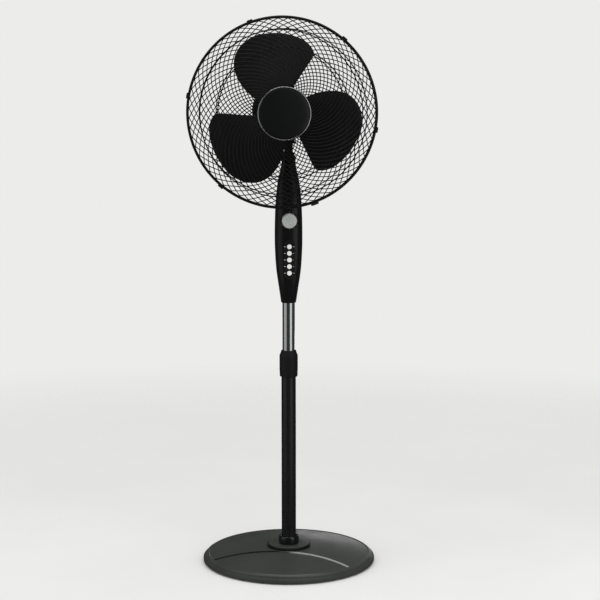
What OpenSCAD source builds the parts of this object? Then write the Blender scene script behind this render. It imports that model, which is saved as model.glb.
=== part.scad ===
// Pedestal fan: round weighted base, telescopic pole, control housing, tilting and swinging head.
// Millimetres. +Z is up, the air blows towards -Y, and the pole stands on the origin.

/* [Base] */
// Outer diameter of the base pan
base_d = 392; // [370:1:480]
// Height of the pan's wall above its floor face
pan_h = 8; // [7:0.5:12]
// Wall of the pan
pan_wall = 2.5; // [2:0.1:4]
// Thickness of the pan's floor
pan_floor = 2; // [1.5:0.1:3]
// Step from the pan's outside to the cover's side
cover_step = 6; // [5:0.5:10]
// Height of the cover's top above its lower edge
cover_h = 28; // [24:1:40]
// Wall of the cover
cover_wall = 2.5; // [2:0.1:3]
// Depth of the crescent pressed into the cover's front
crescent_depth = 1; // [0.4:0.1:1.4]
// Radius of the crescent's rear edge
crescent_r = 280; // [240:1:340]
// Outer diameter of the cast weight
weight_d = 340; // [280:1:360]
// Thickness of the cast weight
weight_h = 5.5; // [4:0.1:6]
// Diameter of the raised disc under the pole
boss_d = 98; // [90:1:120]
// Height of the raised disc
boss_h = 7; // [5:0.5:10]
// Number of rubber feet
foot_n = 6; // [4:1:8]
// Diameter of a foot
foot_d = 22; // [16:1:28]
// Height of a foot
foot_h = 3; // [2.5:0.5:5]
// Diameter of the bolt that holds the pole
bolt_d = 10; // [8:1:12]

/* [Pole] */
// Length of the lower pole
pole_len = 412; // [340:1:490]
// Outer diameter of the lower pole
pole_d = 33; // [31:0.5:38]
// Wall of the lower pole
pole_wall = 1.5; // [1:0.1:2]
// Outer diameter of the sliding tube
tube_d = 28; // [23:0.1:28.5]
// Wall of the sliding tube
tube_wall = 1.2; // [0.8:0.1:2]
// Length of sliding tube that shows at rest
tube_show = 109; // [90:1:130]
// Length of sliding tube that stays hidden below the collar's bush
tube_hidden = 150; // [140:1:170]
// Outer diameter of the height collar
collar_d = 41.6; // [40:0.1:50]
// Length of the height collar
collar_len = 60; // [54:1:72]
// Length of the collar that hangs below the lower pole's top
collar_drop = 23; // [20:1:26]
// Outer diameter of the nut at the pole's foot
foot_nut_d = 46.8; // [44:0.2:56]
// Height of the nut at the pole's foot
foot_nut_h = 18; // [14:1:24]

/* [Control housing] */
// Length of the housing
housing_len = 284; // [280:1:320]
// Greatest width of the housing
housing_w = 62.4; // [60:0.1:76]
// Greatest depth of the housing
housing_depth = 60; // [56:1:72]
// Wall of the housing
housing_wall = 2.4; // [2:0.1:3]
// Height of the timer knob above the housing's lower end
knob_z = 187; // [184:1:194]
// Diameter of the timer knob
knob_d = 33.4; // [28:0.2:35]
// Height of the middle button above the housing's lower end
button_z = 99.5; // [98:0.5:104]
// Distance between buttons
button_pitch = 14.8; // [14:0.1:15.4]
// Diameter of a button
button_d = 10.4; // [9:0.1:11.5]
// Travel of a button
button_travel = 3; // [2:0.1:3.4]
// Width of the button panel
panel_w = 25.4; // [22:0.2:28]

/* [Tilt and swing] */
// Height of the tilt pin above the housing
hinge_rise = 40; // [40:0.5:48]
// Diameter of the tilt pin
tilt_pin_d = 8; // [6:0.5:9]
// Gap between the yoke's ears
yoke_gap = 18.6; // [16:0.2:19]
// Radius of the knuckle round the tilt pin
knuckle_r = 14.5; // [13:0.5:15]
// Height of the swing plate's top above the tilt pin
plate_rise = 37; // [36:0.5:42]
// Diameter of the swing pin
swing_pin_d = 16; // [14:0.5:18]
// Diameter of the tilt knob
tilt_knob_d = 25; // [20:1:28]
// Radius of the swing crank's throw
crank_throw = 15; // [12:0.5:16]

/* [Motor] */
// Gap between the swing plate and the motor's cover
motor_gap = 7.5; // [7.5:0.5:12]
// Sideways offset of the blade's axis from the pole
axis_offset = 20; // [16:0.5:22]
// Outer diameter of the motor's cover
motor_d = 118; // [118:0.1:146]
// Wall of the motor's cover
motor_wall = 2; // [1.6:0.1:3]
// Distance from the pole to the motor's front face
motor_front = 50; // [48:1:56]
// Distance from the pole to the end of the motor's cover
motor_back = 109; // [106:1:124]
// Diameter of the stator
stator_d = 86; // [80:1:86]
// Length of the stator's core
stator_len = 36; // [28:1:38]
// Diameter of the motor's shaft
shaft_d = 8; // [6:0.5:9]

/* [Guard] */
// Outer diameter of the guard
guard_d = 413; // [404:1:500]
// Distance from the pole to the plane of the rim
rim_front = 120; // [118:1:132]
// Depth of the front guard
front_depth = 68; // [64:1:80]
// Diameter of a rim hoop's wire
hoop_d = 6; // [4:0.1:6.4]
// Diameter of a spoke wire
wire_d = 1.8; // [1.4:0.1:2.4]
// Number of spoke wires in each guard
wire_n = 60; // [48:1:96]
// Angle that a spoke sweeps from hub to rim
wire_sweep = 88; // [40:1:100]
// Diameter of the badge
badge_d = 111; // [104:1:120]
// Number of rim clips
clip_n = 6; // [4:1:8]
// Angle of the first rim clip, seen from the front
clip_turn = 48; // [0:1:59]

/* [Blade] */
// Diameter of the blade's sweep
blade_d = 348; // [320:1:360]
// Number of petals
petal_n = 3; // [3:1:3]
// Thickness of a petal
petal_t = 2; // [1.6:0.1:3]
// Depth that a petal takes up along the shaft
petal_rise = 46; // [36:1:50]
// Diameter of the blade's hub
hub_d = 74; // [70:1:84]

/* [Hidden] */

$fn = 48;
eps = 0.01;
run = 0.05;        // radial clearance of a running fit
snug = 0.1;        // clearance between pieces that sit in each other
apart = 0.3;       // gap between bodies that move past each other

// Heights along the pole, from the floor up
pan_top = foot_h + pan_h;
well_r = 34;       // recess in the pan for the bolt's head
well_cap_h = 7;    // rubber cap pressed into that recess
well_z = foot_h + pan_h - 1.5;
cover_z = pan_top - pan_h + pan_floor;
cover_top = pan_top - 6 + cover_h;
boss_top = cover_top + boss_h;
pole_top = boss_top + pole_len;
collar_z = pole_top - collar_drop;
collar_top = collar_z + collar_len;
bush_top = collar_top - 11;
housing_z = collar_top + tube_show;
housing_top = housing_z + housing_len;
tilt_z = housing_top + hinge_rise;
plate_z = tilt_z + plate_rise;
axis_z = plate_z + motor_d / 2 + motor_gap;

// Radii that other pieces fit to
base_r = base_d / 2;
crescent_x = -80;
crescent_y = -40 - crescent_r;
bolt_r = bolt_d / 2;
pole_r = pole_d / 2;
pole_bore = pole_r - pole_wall;
tube_r = tube_d / 2;
collar_r = collar_d / 2;
bush_r = pole_r + 1.9;
tilt_pin_r = tilt_pin_d / 2;
swing_pin_r = swing_pin_d / 2;
shaft_r = shaft_d / 2;
motor_r = motor_d / 2;
stator_r = stator_d / 2;
hoop_r = hoop_d / 2;
rim_r = guard_d / 2 - hoop_r;
badge_r = badge_d / 2;
blade_r = blade_d / 2;
hub_r = hub_d / 2;

// ---------------------------------------------------------------- base

// Height of the cover's outer skin at radius r
function cover_skin(r, side_r) =
    cover_top - 14.5 * pow(max(0, r - boss_d / 2) / (side_r - 3 - boss_d / 2), 1.7);

module foot_ring() {
    for (i = [0 : foot_n - 1]) {
        rotate([0, 0, (i + 0.5) * 360 / foot_n]) translate([base_r - 24, 0, 0]) children();
    }
}

// Rubber feet, and the cap that closes the bolt's well
module base_feet() {
    color("#202020") foot_ring() {
        cylinder(d = foot_d, h = foot_h);
        cylinder(d = foot_d / 3, h = foot_h + pan_floor);
    }
    color("#202020") rotate_extrude() polygon([
        [0, 0], [well_r - 1, 0], [well_r - snug, 1], [well_r - snug, well_cap_h],
        [well_r - 3, well_cap_h], [well_r - 3, foot_h], [0, foot_h]
    ]);
}

module base_pan() {
    color("#3a3d3c") difference() {
        rotate_extrude() polygon([
            [bolt_r + snug, well_z], [well_r, well_z], [well_r, foot_h], [base_r - 2, foot_h],
            [base_r, foot_h + 2], [base_r, pan_top], [base_r - pan_wall, pan_top],
            [base_r - pan_wall, foot_h + pan_floor], [well_r + pan_wall, foot_h + pan_floor],
            [well_r + pan_wall, well_z + pan_floor], [bolt_r + snug, well_z + pan_floor]
        ]);
        foot_ring() translate([0, 0, foot_h - eps]) cylinder(d = foot_d / 3, h = pan_floor + 1);
    }
}

module base_weight() {
    color("#55504a") translate([0, 0, foot_h + pan_floor]) difference() {
        cylinder(d = weight_d, h = weight_h);
        translate([0, 0, -1]) cylinder(r = well_r + pan_wall + 1, h = weight_h + 2);
    }
}

module base_cover() {
    side_r = base_r - cover_step;
    in_r = base_r - pan_wall - snug;
    skin = [for (i = [0 : 9]) let (
        r = side_r - 3 - i * (side_r - 3 - boss_d / 2) / 9
    ) [r, cover_skin(r, side_r)]];
    inner = [for (i = [9 : -1 : 0]) skin[i] - [i < 1 ? cover_wall : 0, cover_wall]];
    column_r = bolt_r + 8;
    color("#4a4e4c") difference() {
        rotate_extrude() polygon(concat(
            [[in_r, cover_z], [in_r, pan_top + 0.4], [side_r, pan_top + 1.2],
             [side_r, cover_skin(side_r - 3, side_r) - 3]],
            skin,
            [[bolt_r + snug, cover_top], [bolt_r + snug, well_z + pan_floor], [column_r, well_z + pan_floor],
             [column_r, cover_top - cover_wall]],
            inner,
            [[side_r - cover_wall, pan_top - 1.2], [in_r - cover_wall, pan_top - 2],
             [in_r - cover_wall, cover_z]]
        ));
        crescent(side_r, skin);
    }
}

// The shallow crescent in front of the pole: a layer of the skin inside a large circle
module crescent(side_r, skin) {
    floor_line = [for (p = skin) p - [0, crescent_depth]];
    roof_line = [for (i = [9 : -1 : 0]) skin[i] + [0, 8]];
    intersection() {
        rotate_extrude() polygon(concat(
            [for (p = floor_line) if (p[0] > boss_d / 2 + 3 && p[0] < side_r - 7) p],
            [for (p = roof_line) if (p[0] > boss_d / 2 + 3 && p[0] < side_r - 7) p]
        ));
        translate([crescent_x, crescent_y, 0]) cylinder(r = crescent_r, h = 100, $fn = 96);
    }
}

module pole_boss() {
    r = boss_d / 2;
    color("#202222") translate([0, 0, cover_top]) difference() {
        rotate_extrude() polygon([
            [0, 0], [r, 0], [r, boss_h - 3], [r - 1, boss_h - 1], [r - 3, boss_h], [0, boss_h]
        ]);
        translate([0, 0, -1]) cylinder(r = bolt_r + snug, h = boss_h + 2);
    }
}

module foot_nut() {
    r = foot_nut_d / 2;
    h = foot_nut_h;
    color("#151616") translate([0, 0, boss_top]) rotate_extrude() polygon(concat(
        [[pole_r + snug, 0], [r - 2.5, 0]],
        [for (i = [1 : 7]) [r - 2.5 + 2.5 * sin(i * 22.5), h * (1 - cos(i * 22.5)) / 2]],
        [[r - 2.5, h], [pole_r + snug, h]]
    ));
}

module base_bolt() {
    color("#9a9a98") union() {
        translate([0, 0, foot_h + 0.4]) cylinder(r = bolt_r * 1.85, h = well_z - 1.5 - foot_h - 0.4, $fn = 6);
        translate([0, 0, well_z - 2]) cylinder(r = bolt_r, h = boss_top + 30 - well_z + 2);
    }
}

module base_washer() {
    color("#b0b0ae") translate([0, 0, well_z - 1.5]) difference() {
        cylinder(r = bolt_r * 3, h = 1.5);
        translate([0, 0, -1]) cylinder(r = bolt_r + snug, h = 4);
    }
}

module pole_plug() {
    color("#2a2a2a") translate([0, 0, boss_top]) difference() {
        cylinder(r = pole_bore - run, h = 36);
        translate([0, 0, -1]) cylinder(r = bolt_r + run, h = 38);
    }
}

module lower_pole() {
    color("#1c1d1d") translate([0, 0, boss_top]) difference() {
        cylinder(r = pole_r, h = pole_len);
        translate([0, 0, -1]) cylinder(r = pole_bore, h = pole_len + 2);
    }
}

// Split bush on the lower pole's top: the sliding tube runs in it
module collar_bush() {
    in_r = tube_r + run;
    color("#303030") difference() {
        rotate_extrude() polygon([
            [pole_r + run, collar_z + 8], [bush_r, collar_z + 8], [bush_r, bush_top], [in_r, bush_top],
            [in_r, pole_top], [pole_r + run, pole_top]
        ]);
        for (a = [30, 150, 270]) {
            rotate([0, 0, a]) translate([0, -0.6, pole_top + 6]) cube([pole_d, 1.2, collar_len]);
        }
    }
}

module height_collar() {
    color("#17181a") rotate_extrude() polygon([
        [pole_r + apart, collar_z], [collar_r - 1.2, collar_z], [collar_r - 0.4, collar_z + 1.2],
        [collar_r, collar_z + 14], [collar_r, collar_top - 5], [collar_r - 1, collar_top - 2],
        [collar_r - 3.6, collar_top], [tube_r + apart, collar_top], [tube_r + apart, bush_top + apart],
        [bush_r + run, bush_top + apart], [bush_r + run, collar_z + 7.6], [pole_r + apart, collar_z + 7.6]
    ]);
}

// ---------------------------------------------------------------- mast

module inner_pole() {
    low = pole_top - tube_hidden;
    color("silver") translate([0, 0, low]) difference() {
        cylinder(r = tube_r, h = housing_z + socket_top - low);
        translate([0, 0, -1]) cylinder(r = tube_r - tube_wall, h = housing_z + 70 - low);
    }
}

module pole_stop() {
    low = pole_top - tube_hidden;
    color("#e4e2dc") rotate_extrude() polygon([
        [tube_r - 3, low - 3], [pole_bore - run - 1, low - 3], [pole_bore - run, low - 2],
        [pole_bore - run, low + 24], [tube_r, low + 25], [tube_r, low], [tube_r - 3, low]
    ]);
}

// Half width of the housing and of the yoke above it, at height h over the housing's lower end
width_line = [
    [0, 0.27], [30, 0.338], [75, 0.44], [110, 0.481], [150, 0.5], [200, 0.488], [242, 0.456], [274, 0.4],
    [292, 0.35], [306, 0.295], [325, 0.246], [339, 0.22], [350, 0.2]
];
front_line = [
    [0, 0.287], [30, 0.4], [58, 0.475], [100, 0.5], [205, 0.5], [242, 0.47], [274, 0.41], [292, 0.367],
    [306, 0.34], [325, 0.31], [350, 0.27]
];
rear_line = [
    [0, 0.287], [30, 0.36], [75, 0.45], [120, 0.49], [160, 0.5], [205, 0.49], [242, 0.46], [274, 0.41],
    [292, 0.367], [306, 0.34], [325, 0.31], [350, 0.27]
];

function spow(v, e) = sign(v) * pow(abs(v), e);

// Depth of the housing's rear (side 1) or front (side -1) at height h and distance x from its middle
function skin_y(h, x, side) = let (
    s = h * 292 / housing_len,
    half_w = lookup(s, width_line) * housing_w,
    half_d = lookup(s, side < 0 ? front_line : rear_line) * housing_depth
) half_d * pow(1 - pow(abs(x) / half_w, 2.5), 0.4);

// One point of the housing's section at height h and angle a, drawn in by wall
function skin_point(h, a, wall) = let (
    s = h * 292 / housing_len,
    half_w = lookup(s, width_line) * housing_w - wall,
    half_d = lookup(s, sin(a) < 0 ? front_line : rear_line) * housing_depth - wall
) [half_w * spow(cos(a), 0.8), half_d * spow(sin(a), 0.8), housing_z + h];

// Closed solid between stacked rings, each ring a list of the same number of points
module stack(rings) {
    n = len(rings[0]);
    m = len(rings);
    polyhedron(
        points = [for (ring = rings) each ring],
        faces = concat(
            [[for (i = [0 : n - 1]) i]],
            [for (k = [0 : m - 2], i = [0 : n - 1]) each [
                [k * n + i, (k + 1) * n + i, (k + 1) * n + (i + 1) % n],
                [k * n + i, (k + 1) * n + (i + 1) % n, k * n + (i + 1) % n]
            ]],
            [[for (i = [n - 1 : -1 : 0]) (m - 1) * n + i]]
        )
    );
}

// Whole section of the housing from height h0 to h1
module housing_core(h0, h1, wall, steps) {
    stack([for (k = [0 : steps]) let (h = h0 + (h1 - h0) * k / steps) [
        for (i = [0 : 31]) skin_point(h, i * 11.25, wall)
    ]]);
}

// One half shell: the outer half ring, then the inner half ring back, just short of the seam
module half_shell(first) {
    steps = 16;
    turn = function (i) first + (i < 1 ? 0.02 : i > 15 ? 179.98 : i * 180 / 16);
    stack([for (k = [0 : steps]) let (h = housing_len * k / steps) concat(
        [for (i = [0 : 16]) skin_point(h, turn(i), 0)],
        [for (i = [16 : -1 : 0]) skin_point(h, turn(i), housing_wall)]
    )]);
}

socket_low = 20;
socket_top = 60;
socket_screw = 42;
screw_r = 1.6;
screw_head_r = 3.3;
screw_head_h = 1.4;
post_r = 3.6;
post_x = housing_w / 3;
// Sideways place and height of each screw that joins the two halves
screw_posts = [[post_x, 112], [-post_x, 112], [0, 226]];

// Puts children on each joining screw's axis, pointing back from the seam
module at_screws() {
    for (p = screw_posts) {
        translate([p[0], 0, housing_z + p[1]]) rotate([-90, 0, 0]) {
            $seat = skin_y(p[1], p[0], 1) - screw_head_h - 0.2;
            $nose = skin_y(p[1], p[0], -1) - 1.2;
            children();
        }
    }
}

// The same for the screw that goes into the pole's socket
module at_socket_screw() {
    translate([0, 0, housing_z + socket_screw]) rotate([-90, 0, 0]) {
        $seat = skin_y(socket_screw, 0, 1) - screw_head_h - 0.2;
        children();
    }
}

module panel_outline(grow) {
    w = panel_w + 2 * grow;
    low = button_z - 2 * button_pitch - 15 - grow;
    high = button_z + 2 * button_pitch + 15 + grow;
    hull() {
        translate([0, low + w / 2]) circle(d = w, $fn = 32);
        translate([0, high - w / 2]) circle(d = w, $fn = 32);
    }
}

// Places an outline drawn in X and height on the housing's front, pointing back
module on_front(y) {
    translate([0, y, housing_z]) rotate([90, 0, 0]) mirror([0, 0, 1]) children();
}

front_y = -housing_depth / 2;
panel_front = front_y - 0.8;
panel_back = front_y + 2.2;
bezel_r = knob_d / 2 + 3.5;

module housing_front() {
    color("#131414") difference() {
        union() {
            half_shell(180);
            at_screws() translate([0, 0, -$nose]) cylinder(r = post_r, h = $nose - snug);
        }
        on_front(front_y - 5) linear_extrude(15) panel_outline(snug);
        on_front(front_y - 5) translate([0, knob_z, 0]) cylinder(r = bezel_r + snug, h = 20);
        at_screws() translate([0, 0, -screw_bite - 1]) cylinder(r = screw_r, h = screw_bite + 2);
    }
}

module housing_rear() {
    color("#131414") difference() {
        union() {
            half_shell(0);
            at_screws() translate([0, 0, snug]) cylinder(r = post_r, h = $seat);
        }
        at_screws() screw_room();
        at_socket_screw() screw_room();
        translate([0, 0, housing_z + gland_h]) rotate([-90, 0, 0]) cylinder(r = gland_r + snug, h = 60);
    }
}

// Clear hole and head recess of a screw, in the rear half
module screw_room() {
    translate([0, 0, -1]) cylinder(r = screw_r + 0.3, h = 60);
    translate([0, 0, $seat]) cylinder(r = screw_head_r + 0.3, h = 20);
}

module screw(tip) {
    translate([0, 0, tip]) cylinder(r = screw_r - run, h = $seat - tip + 0.5);
    translate([0, 0, $seat + 0.02]) cylinder(r = screw_head_r, h = screw_head_h);
}

screw_bite = 12;

module housing_screws() {
    color("#8c8c8a") {
        at_screws() screw(-screw_bite);
        at_socket_screw() screw(tube_r + 0.3);
    }
}

// Fills the housing's lower end and grips the sliding tube
module pole_socket() {
    color("#2c2c2c") difference() {
        housing_core(socket_low, socket_top, housing_wall + 0.4, 3);
        translate([0, 0, housing_z]) cylinder(r = tube_r + eps, h = 100);
        at_socket_screw() cylinder(r = screw_r, h = 60);
    }
}

module button_holes(r, y, depth) {
    for (i = [-2 : 2]) {
        on_front(y) translate([0, button_z + i * button_pitch, 0]) cylinder(r = r, h = depth);
    }
}

module button_panel() {
    color("#1a1b1c") difference() {
        on_front(panel_front) linear_extrude(panel_back - panel_front) panel_outline(0);
        button_holes(button_d / 2 + 0.2, panel_front - 1, 8);
    }
}

module knob_bezel() {
    color("#1a1b1c") on_front(front_y - 1.6) translate([0, knob_z, 0]) difference() {
        cylinder(r = bezel_r, h = 11);
        translate([0, 0, -1]) cylinder(r = knob_d / 2 + 1, h = 2.6);
        translate([0, 0, -1]) cylinder(r = 3.6, h = 20);
    }
}

timer_front = front_y + 9.4;

module timer_unit() {
    color("#d8d4c8") difference() {
        union() {
            translate([-17, timer_front, housing_z + knob_z - 18]) cube([34, 20, 36]);
            on_front(timer_front + 19) translate([0, knob_z, 0]) cylinder(r = 12, h = 8);
        }
        on_front(timer_front - 1) translate([0, knob_z, 0]) cylinder(r = 3 + run, h = 12);
    }
}

module timer_knob() {
    face = front_y - 1.6;
    color("#a9aca9") on_front(face) translate([0, knob_z, 0]) union() {
        translate([0, 0, -12]) cylinder(r1 = knob_d / 2 - 1.5, r2 = knob_d / 2, h = 4);
        translate([0, 0, -8]) cylinder(r = knob_d / 2, h = 8 + 1.2);
        translate([0, 0, 1]) cylinder(r = 3, h = 19);
        rotate([0, 0, 30]) translate([-2, -knob_d / 2 + 3, -14]) cube([4, knob_d - 6, 3]);
    }
}

switch_front = front_y + 8;

module switch_block() {
    low = button_z - 2 * button_pitch - 9;
    color("#c9c2ae") difference() {
        union() {
            translate([-11, switch_front, housing_z + low]) cube([22, 18, 4 * button_pitch + 18]);
            for (i = [-2 : 2]) {
                tab_z = housing_z + button_z + i * button_pitch - 2;
                translate([-7, switch_front + 17, tab_z]) cube([1, 8, 4]);
            }
        }
        button_holes(2.4 + run, switch_front - 1, 11);
    }
}

// One push button: domed cap, retaining flange and stem
module button(i, tint) {
    r = button_d / 2;
    outline = concat(
        [[0, -button_travel - 0.6]],
        [for (k = [1 : 5]) [(r - 0.2) * sin(k * 16), -button_travel - 0.6 * cos(k * 16)]],
        [[r, -button_travel + 0.6], [r, 3.4], [r + 0.9, 3.4], [r + 0.9, 4.6], [2.4, 4.6],
         [2.4, 14.4], [0, 14.4]]
    );
    color(tint) on_front(panel_front) translate([0, button_z + i * button_pitch, 0]) {
        rotate_extrude() polygon(outline);
    }
}

module capacitor() {
    color("#2f4f8f") translate([-15, 4.5, housing_z + 130]) cube([30, 14, 24]);
}

gland_h = 78;
gland_r = 6.5;

// Cord inlet low on the housing's back
module cord_gland() {
    color("#101010") translate([0, 0, housing_z + gland_h]) rotate([-90, 0, 0]) difference() {
        union() {
            translate([0, 0, 18]) cylinder(r = gland_r, h = 14);
            translate([0, 0, 30]) cylinder(r1 = gland_r + 1.6, r2 = 5, h = 8);
        }
        translate([0, 0, 17]) cylinder(r = 3.4, h = 30);
    }
}

// ---------------------------------------------------------------- tilt

module along_x() {
    translate([0, 0, tilt_z]) rotate([0, 90, 0]) children();
}

module tilt_yoke() {
    floor_z = tilt_z - knuckle_r - 1;
    top_h = housing_len + hinge_rise + 14;
    color("#161717") difference() {
        union() {
            housing_core(housing_len - 34, housing_len + 1, housing_wall + snug, 3);
            housing_core(housing_len + 0.2, top_h, 0, 5);
        }
        translate([-yoke_gap / 2, -40, floor_z]) cube([yoke_gap, 80, 60]);
        along_x() translate([0, 0, -40]) cylinder(r = tilt_pin_r + snug, h = 80);
        along_x() translate([0, 0, 13.2]) cylinder(r = tilt_pin_r + 3.2, h = 20);
        along_x() translate([0, 0, -33.2]) cylinder(r = tilt_pin_r + 3.2, h = 20);
        translate([0, 0, housing_top - 60]) cylinder(r = 5, h = floor_z - housing_top + 70);
    }
}

module tilt_bolt() {
    color("#9a9a98") along_x() union() {
        translate([0, 0, -26.4]) cylinder(r = tilt_pin_r, h = 40.4);
        translate([0, 0, 13.3]) cylinder(r = tilt_pin_r + 2.8, h = 2.6);
    }
}

module tilt_knob() {
    r = tilt_knob_d / 2;
    color("#1a1b1c") along_x() difference() {
        union() {
            translate([0, 0, -28]) cylinder(r = r, h = 10);
            translate([0, 0, -18.5]) cylinder(r = 6.4, h = 5);
        }
        for (i = [0 : 7]) {
            rotate([0, 0, i * 45]) translate([r + 1.6, 0, -29]) cylinder(r = 3, h = 12);
        }
        translate([0, 0, -26.7]) cylinder(r = tilt_pin_r + run, h = 20);
    }
}

swing_foot = plate_z - 4;
crank_x = -axis_offset;
crank_y = 66;
stud_x = -24;
stud_y = 4;

module tilt_knuckle() {
    half = yoke_gap / 2 - apart;
    color("#1c1d1d") difference() {
        union() {
            along_x() translate([0, 0, -half]) cylinder(r = knuckle_r, h = 2 * half);
            translate([-half, -knuckle_r + 2, tilt_z]) {
                cube([2 * half, 2 * knuckle_r - 4, swing_foot - tilt_z + 1]);
            }
            translate([0, 0, swing_foot]) cylinder(r = 18, h = 4);
            hull() {
                translate([stud_x, stud_y, swing_foot]) cylinder(r = 6, h = 4, $fn = 32);
                translate([-10, 0, swing_foot]) cylinder(r = 7, h = 4, $fn = 32);
            }
        }
        along_x() translate([0, 0, -20]) cylinder(r = tilt_pin_r + run, h = 40);
        translate([0, 0, swing_foot - 14]) cylinder(r = 5 + eps, h = 20);
        translate([stud_x, stud_y, swing_foot - 1]) cylinder(r = 3 + eps, h = 6);
    }
}

module swing_pin() {
    color("#9a9a98") difference() {
        union() {
            translate([0, 0, swing_foot - 14]) cylinder(r = 5, h = 18);
            translate([0, 0, plate_z]) cylinder(r = swing_pin_r, h = hub_len + 2.3);
        }
        translate([0, 0, swing_foot - 15]) cylinder(r = 2.8, h = 60);
    }
}

module swing_clip() {
    color("#b0b0ae") translate([0, 0, plate_z + hub_len + 0.3]) difference() {
        cylinder(r = swing_pin_r + 3, h = 1.2);
        translate([0, 0, -1]) cylinder(r = swing_pin_r, h = 4);
    }
}

link_z = plate_z + 1;
link_h = 2.4;

module link_stud() {
    color("#9a9a98") translate([stud_x, stud_y, 0]) union() {
        translate([0, 0, swing_foot]) cylinder(r = 3, h = 4 + 1 + link_h + 0.4);
        translate([0, 0, link_z + link_h + 0.4]) cylinder(r = 5, h = 1.4);
    }
}

pin_x = crank_x - crank_throw;
link_len = sqrt(pow(pin_x - stud_x, 2) + pow(crank_y - stud_y, 2));
link_turn = atan2(crank_y - stud_y, pin_x - stud_x);

// Flat link from the stud to under the crank's pin
module swing_link() {
    color("#6d6d6b") translate([stud_x, stud_y, link_z]) rotate([0, 0, link_turn]) difference() {
        union() {
            cylinder(r = 6.5, h = link_h);
            translate([0, -4.5, 0]) cube([link_len, 9, link_h]);
            translate([link_len, 0, 0]) cylinder(r = 6.5, h = link_h);
        }
        translate([0, 0, -1]) cylinder(r = 3 + run, h = 6);
    }
}

module swing_crank() {
    color("#c8c5ba") union() {
        translate([crank_x, crank_y, plate_z + 6]) cylinder(r = 4, h = axis_z - plate_z - 23);
        translate([crank_x, crank_y, plate_z + 5.2]) cylinder(r = crank_throw + 4.6, h = 2.2);
        translate([pin_x, crank_y, link_z + link_h + apart]) cylinder(r = 3, h = 2);
    }
}

module swing_knob() {
    top = axis_z + cover_radius(crank_y);
    color("#1a1b1c") translate([crank_x, crank_y, 0]) union() {
        translate([0, 0, axis_z + 6]) cylinder(r = 3, h = top - axis_z - 2);
        translate([0, 0, top + 1.5]) cylinder(r = 4.2, h = 5);
        translate([0, 0, top + 6]) cylinder(r1 = 5, r2 = 8.5, h = 6);
        translate([0, 0, top + 12]) cylinder(r1 = 8.5, r2 = 7, h = 3);
    }
}

// ---------------------------------------------------------------- head

// Head frame: x to the side, y up, z forward along the shaft, from the pole's plane
module head() {
    translate([-axis_offset, 0, axis_z]) rotate([90, 0, 0]) children();
}

nose_r = 22;
seat_r = 8;
boss_r = swing_pin_r + 5.5;
hub_len = 22;      // height over the swing plate of the mount's hub on the swing pin

module motor_mount() {
    color("#232425") difference() {
        union() {
            head() union() {
                translate([0, 0, motor_front - 5.5]) cylinder(r = motor_r, h = 5.5);
                translate([0, 0, motor_front - 9]) cylinder(r = motor_r - motor_wall - snug, h = 5);
                translate([0, 0, stator_len / 2]) {
                    cylinder(r = stator_r + 3, h = motor_front - 5 - stator_len / 2);
                }
                translate([0, 0, motor_front - 1]) cylinder(r = nose_r, h = 13);
            }
            translate([0, 0, plate_z + apart]) cylinder(r = boss_r, h = hub_len - apart);
            translate([-12, -motor_front + 4, plate_z + 12]) cube([26, motor_front - 4, hub_len - 12]);
        }
        translate([0, 0, plate_z - 1]) cylinder(r = swing_pin_r + run, h = 40);
        head() {
            translate([0, 0, stator_len / 2 - 20]) {
                cylinder(r = stator_r - 3, h = motor_front - stator_len / 2 + 14);
            }
            translate([0, 0, 0]) cylinder(r = seat_r, h = motor_front + 10);
            translate([0, 0, 0]) cylinder(r = shaft_r + 1, h = motor_front + 30);
            bolt_ring() cylinder(r = 2.2, h = motor_front - 2);
            translate([0, 0, motor_front - 20]) difference() {
                cylinder(r = motor_r - motor_wall - 4, h = 14);
                cylinder(r = stator_r + 3, h = 14);
                translate([-20, -motor_r - 10, 0]) cube([60, 30, 14]);
            }
        }
        translate([0, 0, plate_z + hub_len]) cylinder(r = swing_pin_r + 4, h = 4);
    }
}

module bolt_ring() {
    for (a = [45, 135, 225, 315]) {
        rotate([0, 0, a]) translate([stator_r + 7, 0, 0]) children();
    }
}

module stator_core() {
    color("#6f7073") head() translate([0, 0, -stator_len / 2]) difference() {
        cylinder(r = stator_r, h = stator_len);
        translate([0, 0, -1]) cylinder(r = stator_r * 0.57, h = stator_len + 2);
    }
}

module stator_windings() {
    color("#b06a35") head() for (side = [-1, 1]) {
        translate([0, 0, side > 0 ? stator_len / 2 : -stator_len / 2 - 12]) difference() {
            cylinder(r = stator_r - 4.5, h = 12);
            translate([0, 0, -1]) cylinder(r = stator_r * 0.6, h = 14);
        }
    }
}

bell_z = -stator_len / 2 - 14;

module rear_bell() {
    color("#a9aaac") head() difference() {
        union() {
            translate([0, 0, bell_z - 3]) cylinder(r = stator_r + 3, h = 17);
            bolt_ring() translate([0, 0, bell_z - 3]) cylinder(r = 4.4, h = 3);
            for (a = [45, 135]) {
                rotate([0, 0, a]) translate([-stator_r - 7, -4, bell_z - 3]) cube([2 * stator_r + 14, 8, 3]);
            }
            translate([0, 0, bell_z - 8]) cylinder(r = 12, h = 10);
        }
        translate([0, 0, bell_z]) cylinder(r = stator_r - 3, h = 20);
        translate([0, 0, bell_z - 6]) cylinder(r = seat_r, h = 10);
        translate([0, 0, bell_z - 10]) cylinder(r = shaft_r + 1, h = 10);
        bolt_ring() translate([0, 0, bell_z - 5]) cylinder(r = 2.2, h = 8);
    }
}

module motor_bolts() {
    color("#8c8c8a") head() bolt_ring() {
        translate([0, 0, bell_z - 5.4]) cylinder(r = 2.1, h = motor_front - bell_z + 2);
        translate([0, 0, bell_z - 5.8]) cylinder(r = 3.6, h = 2.7);
    }
}

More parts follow.
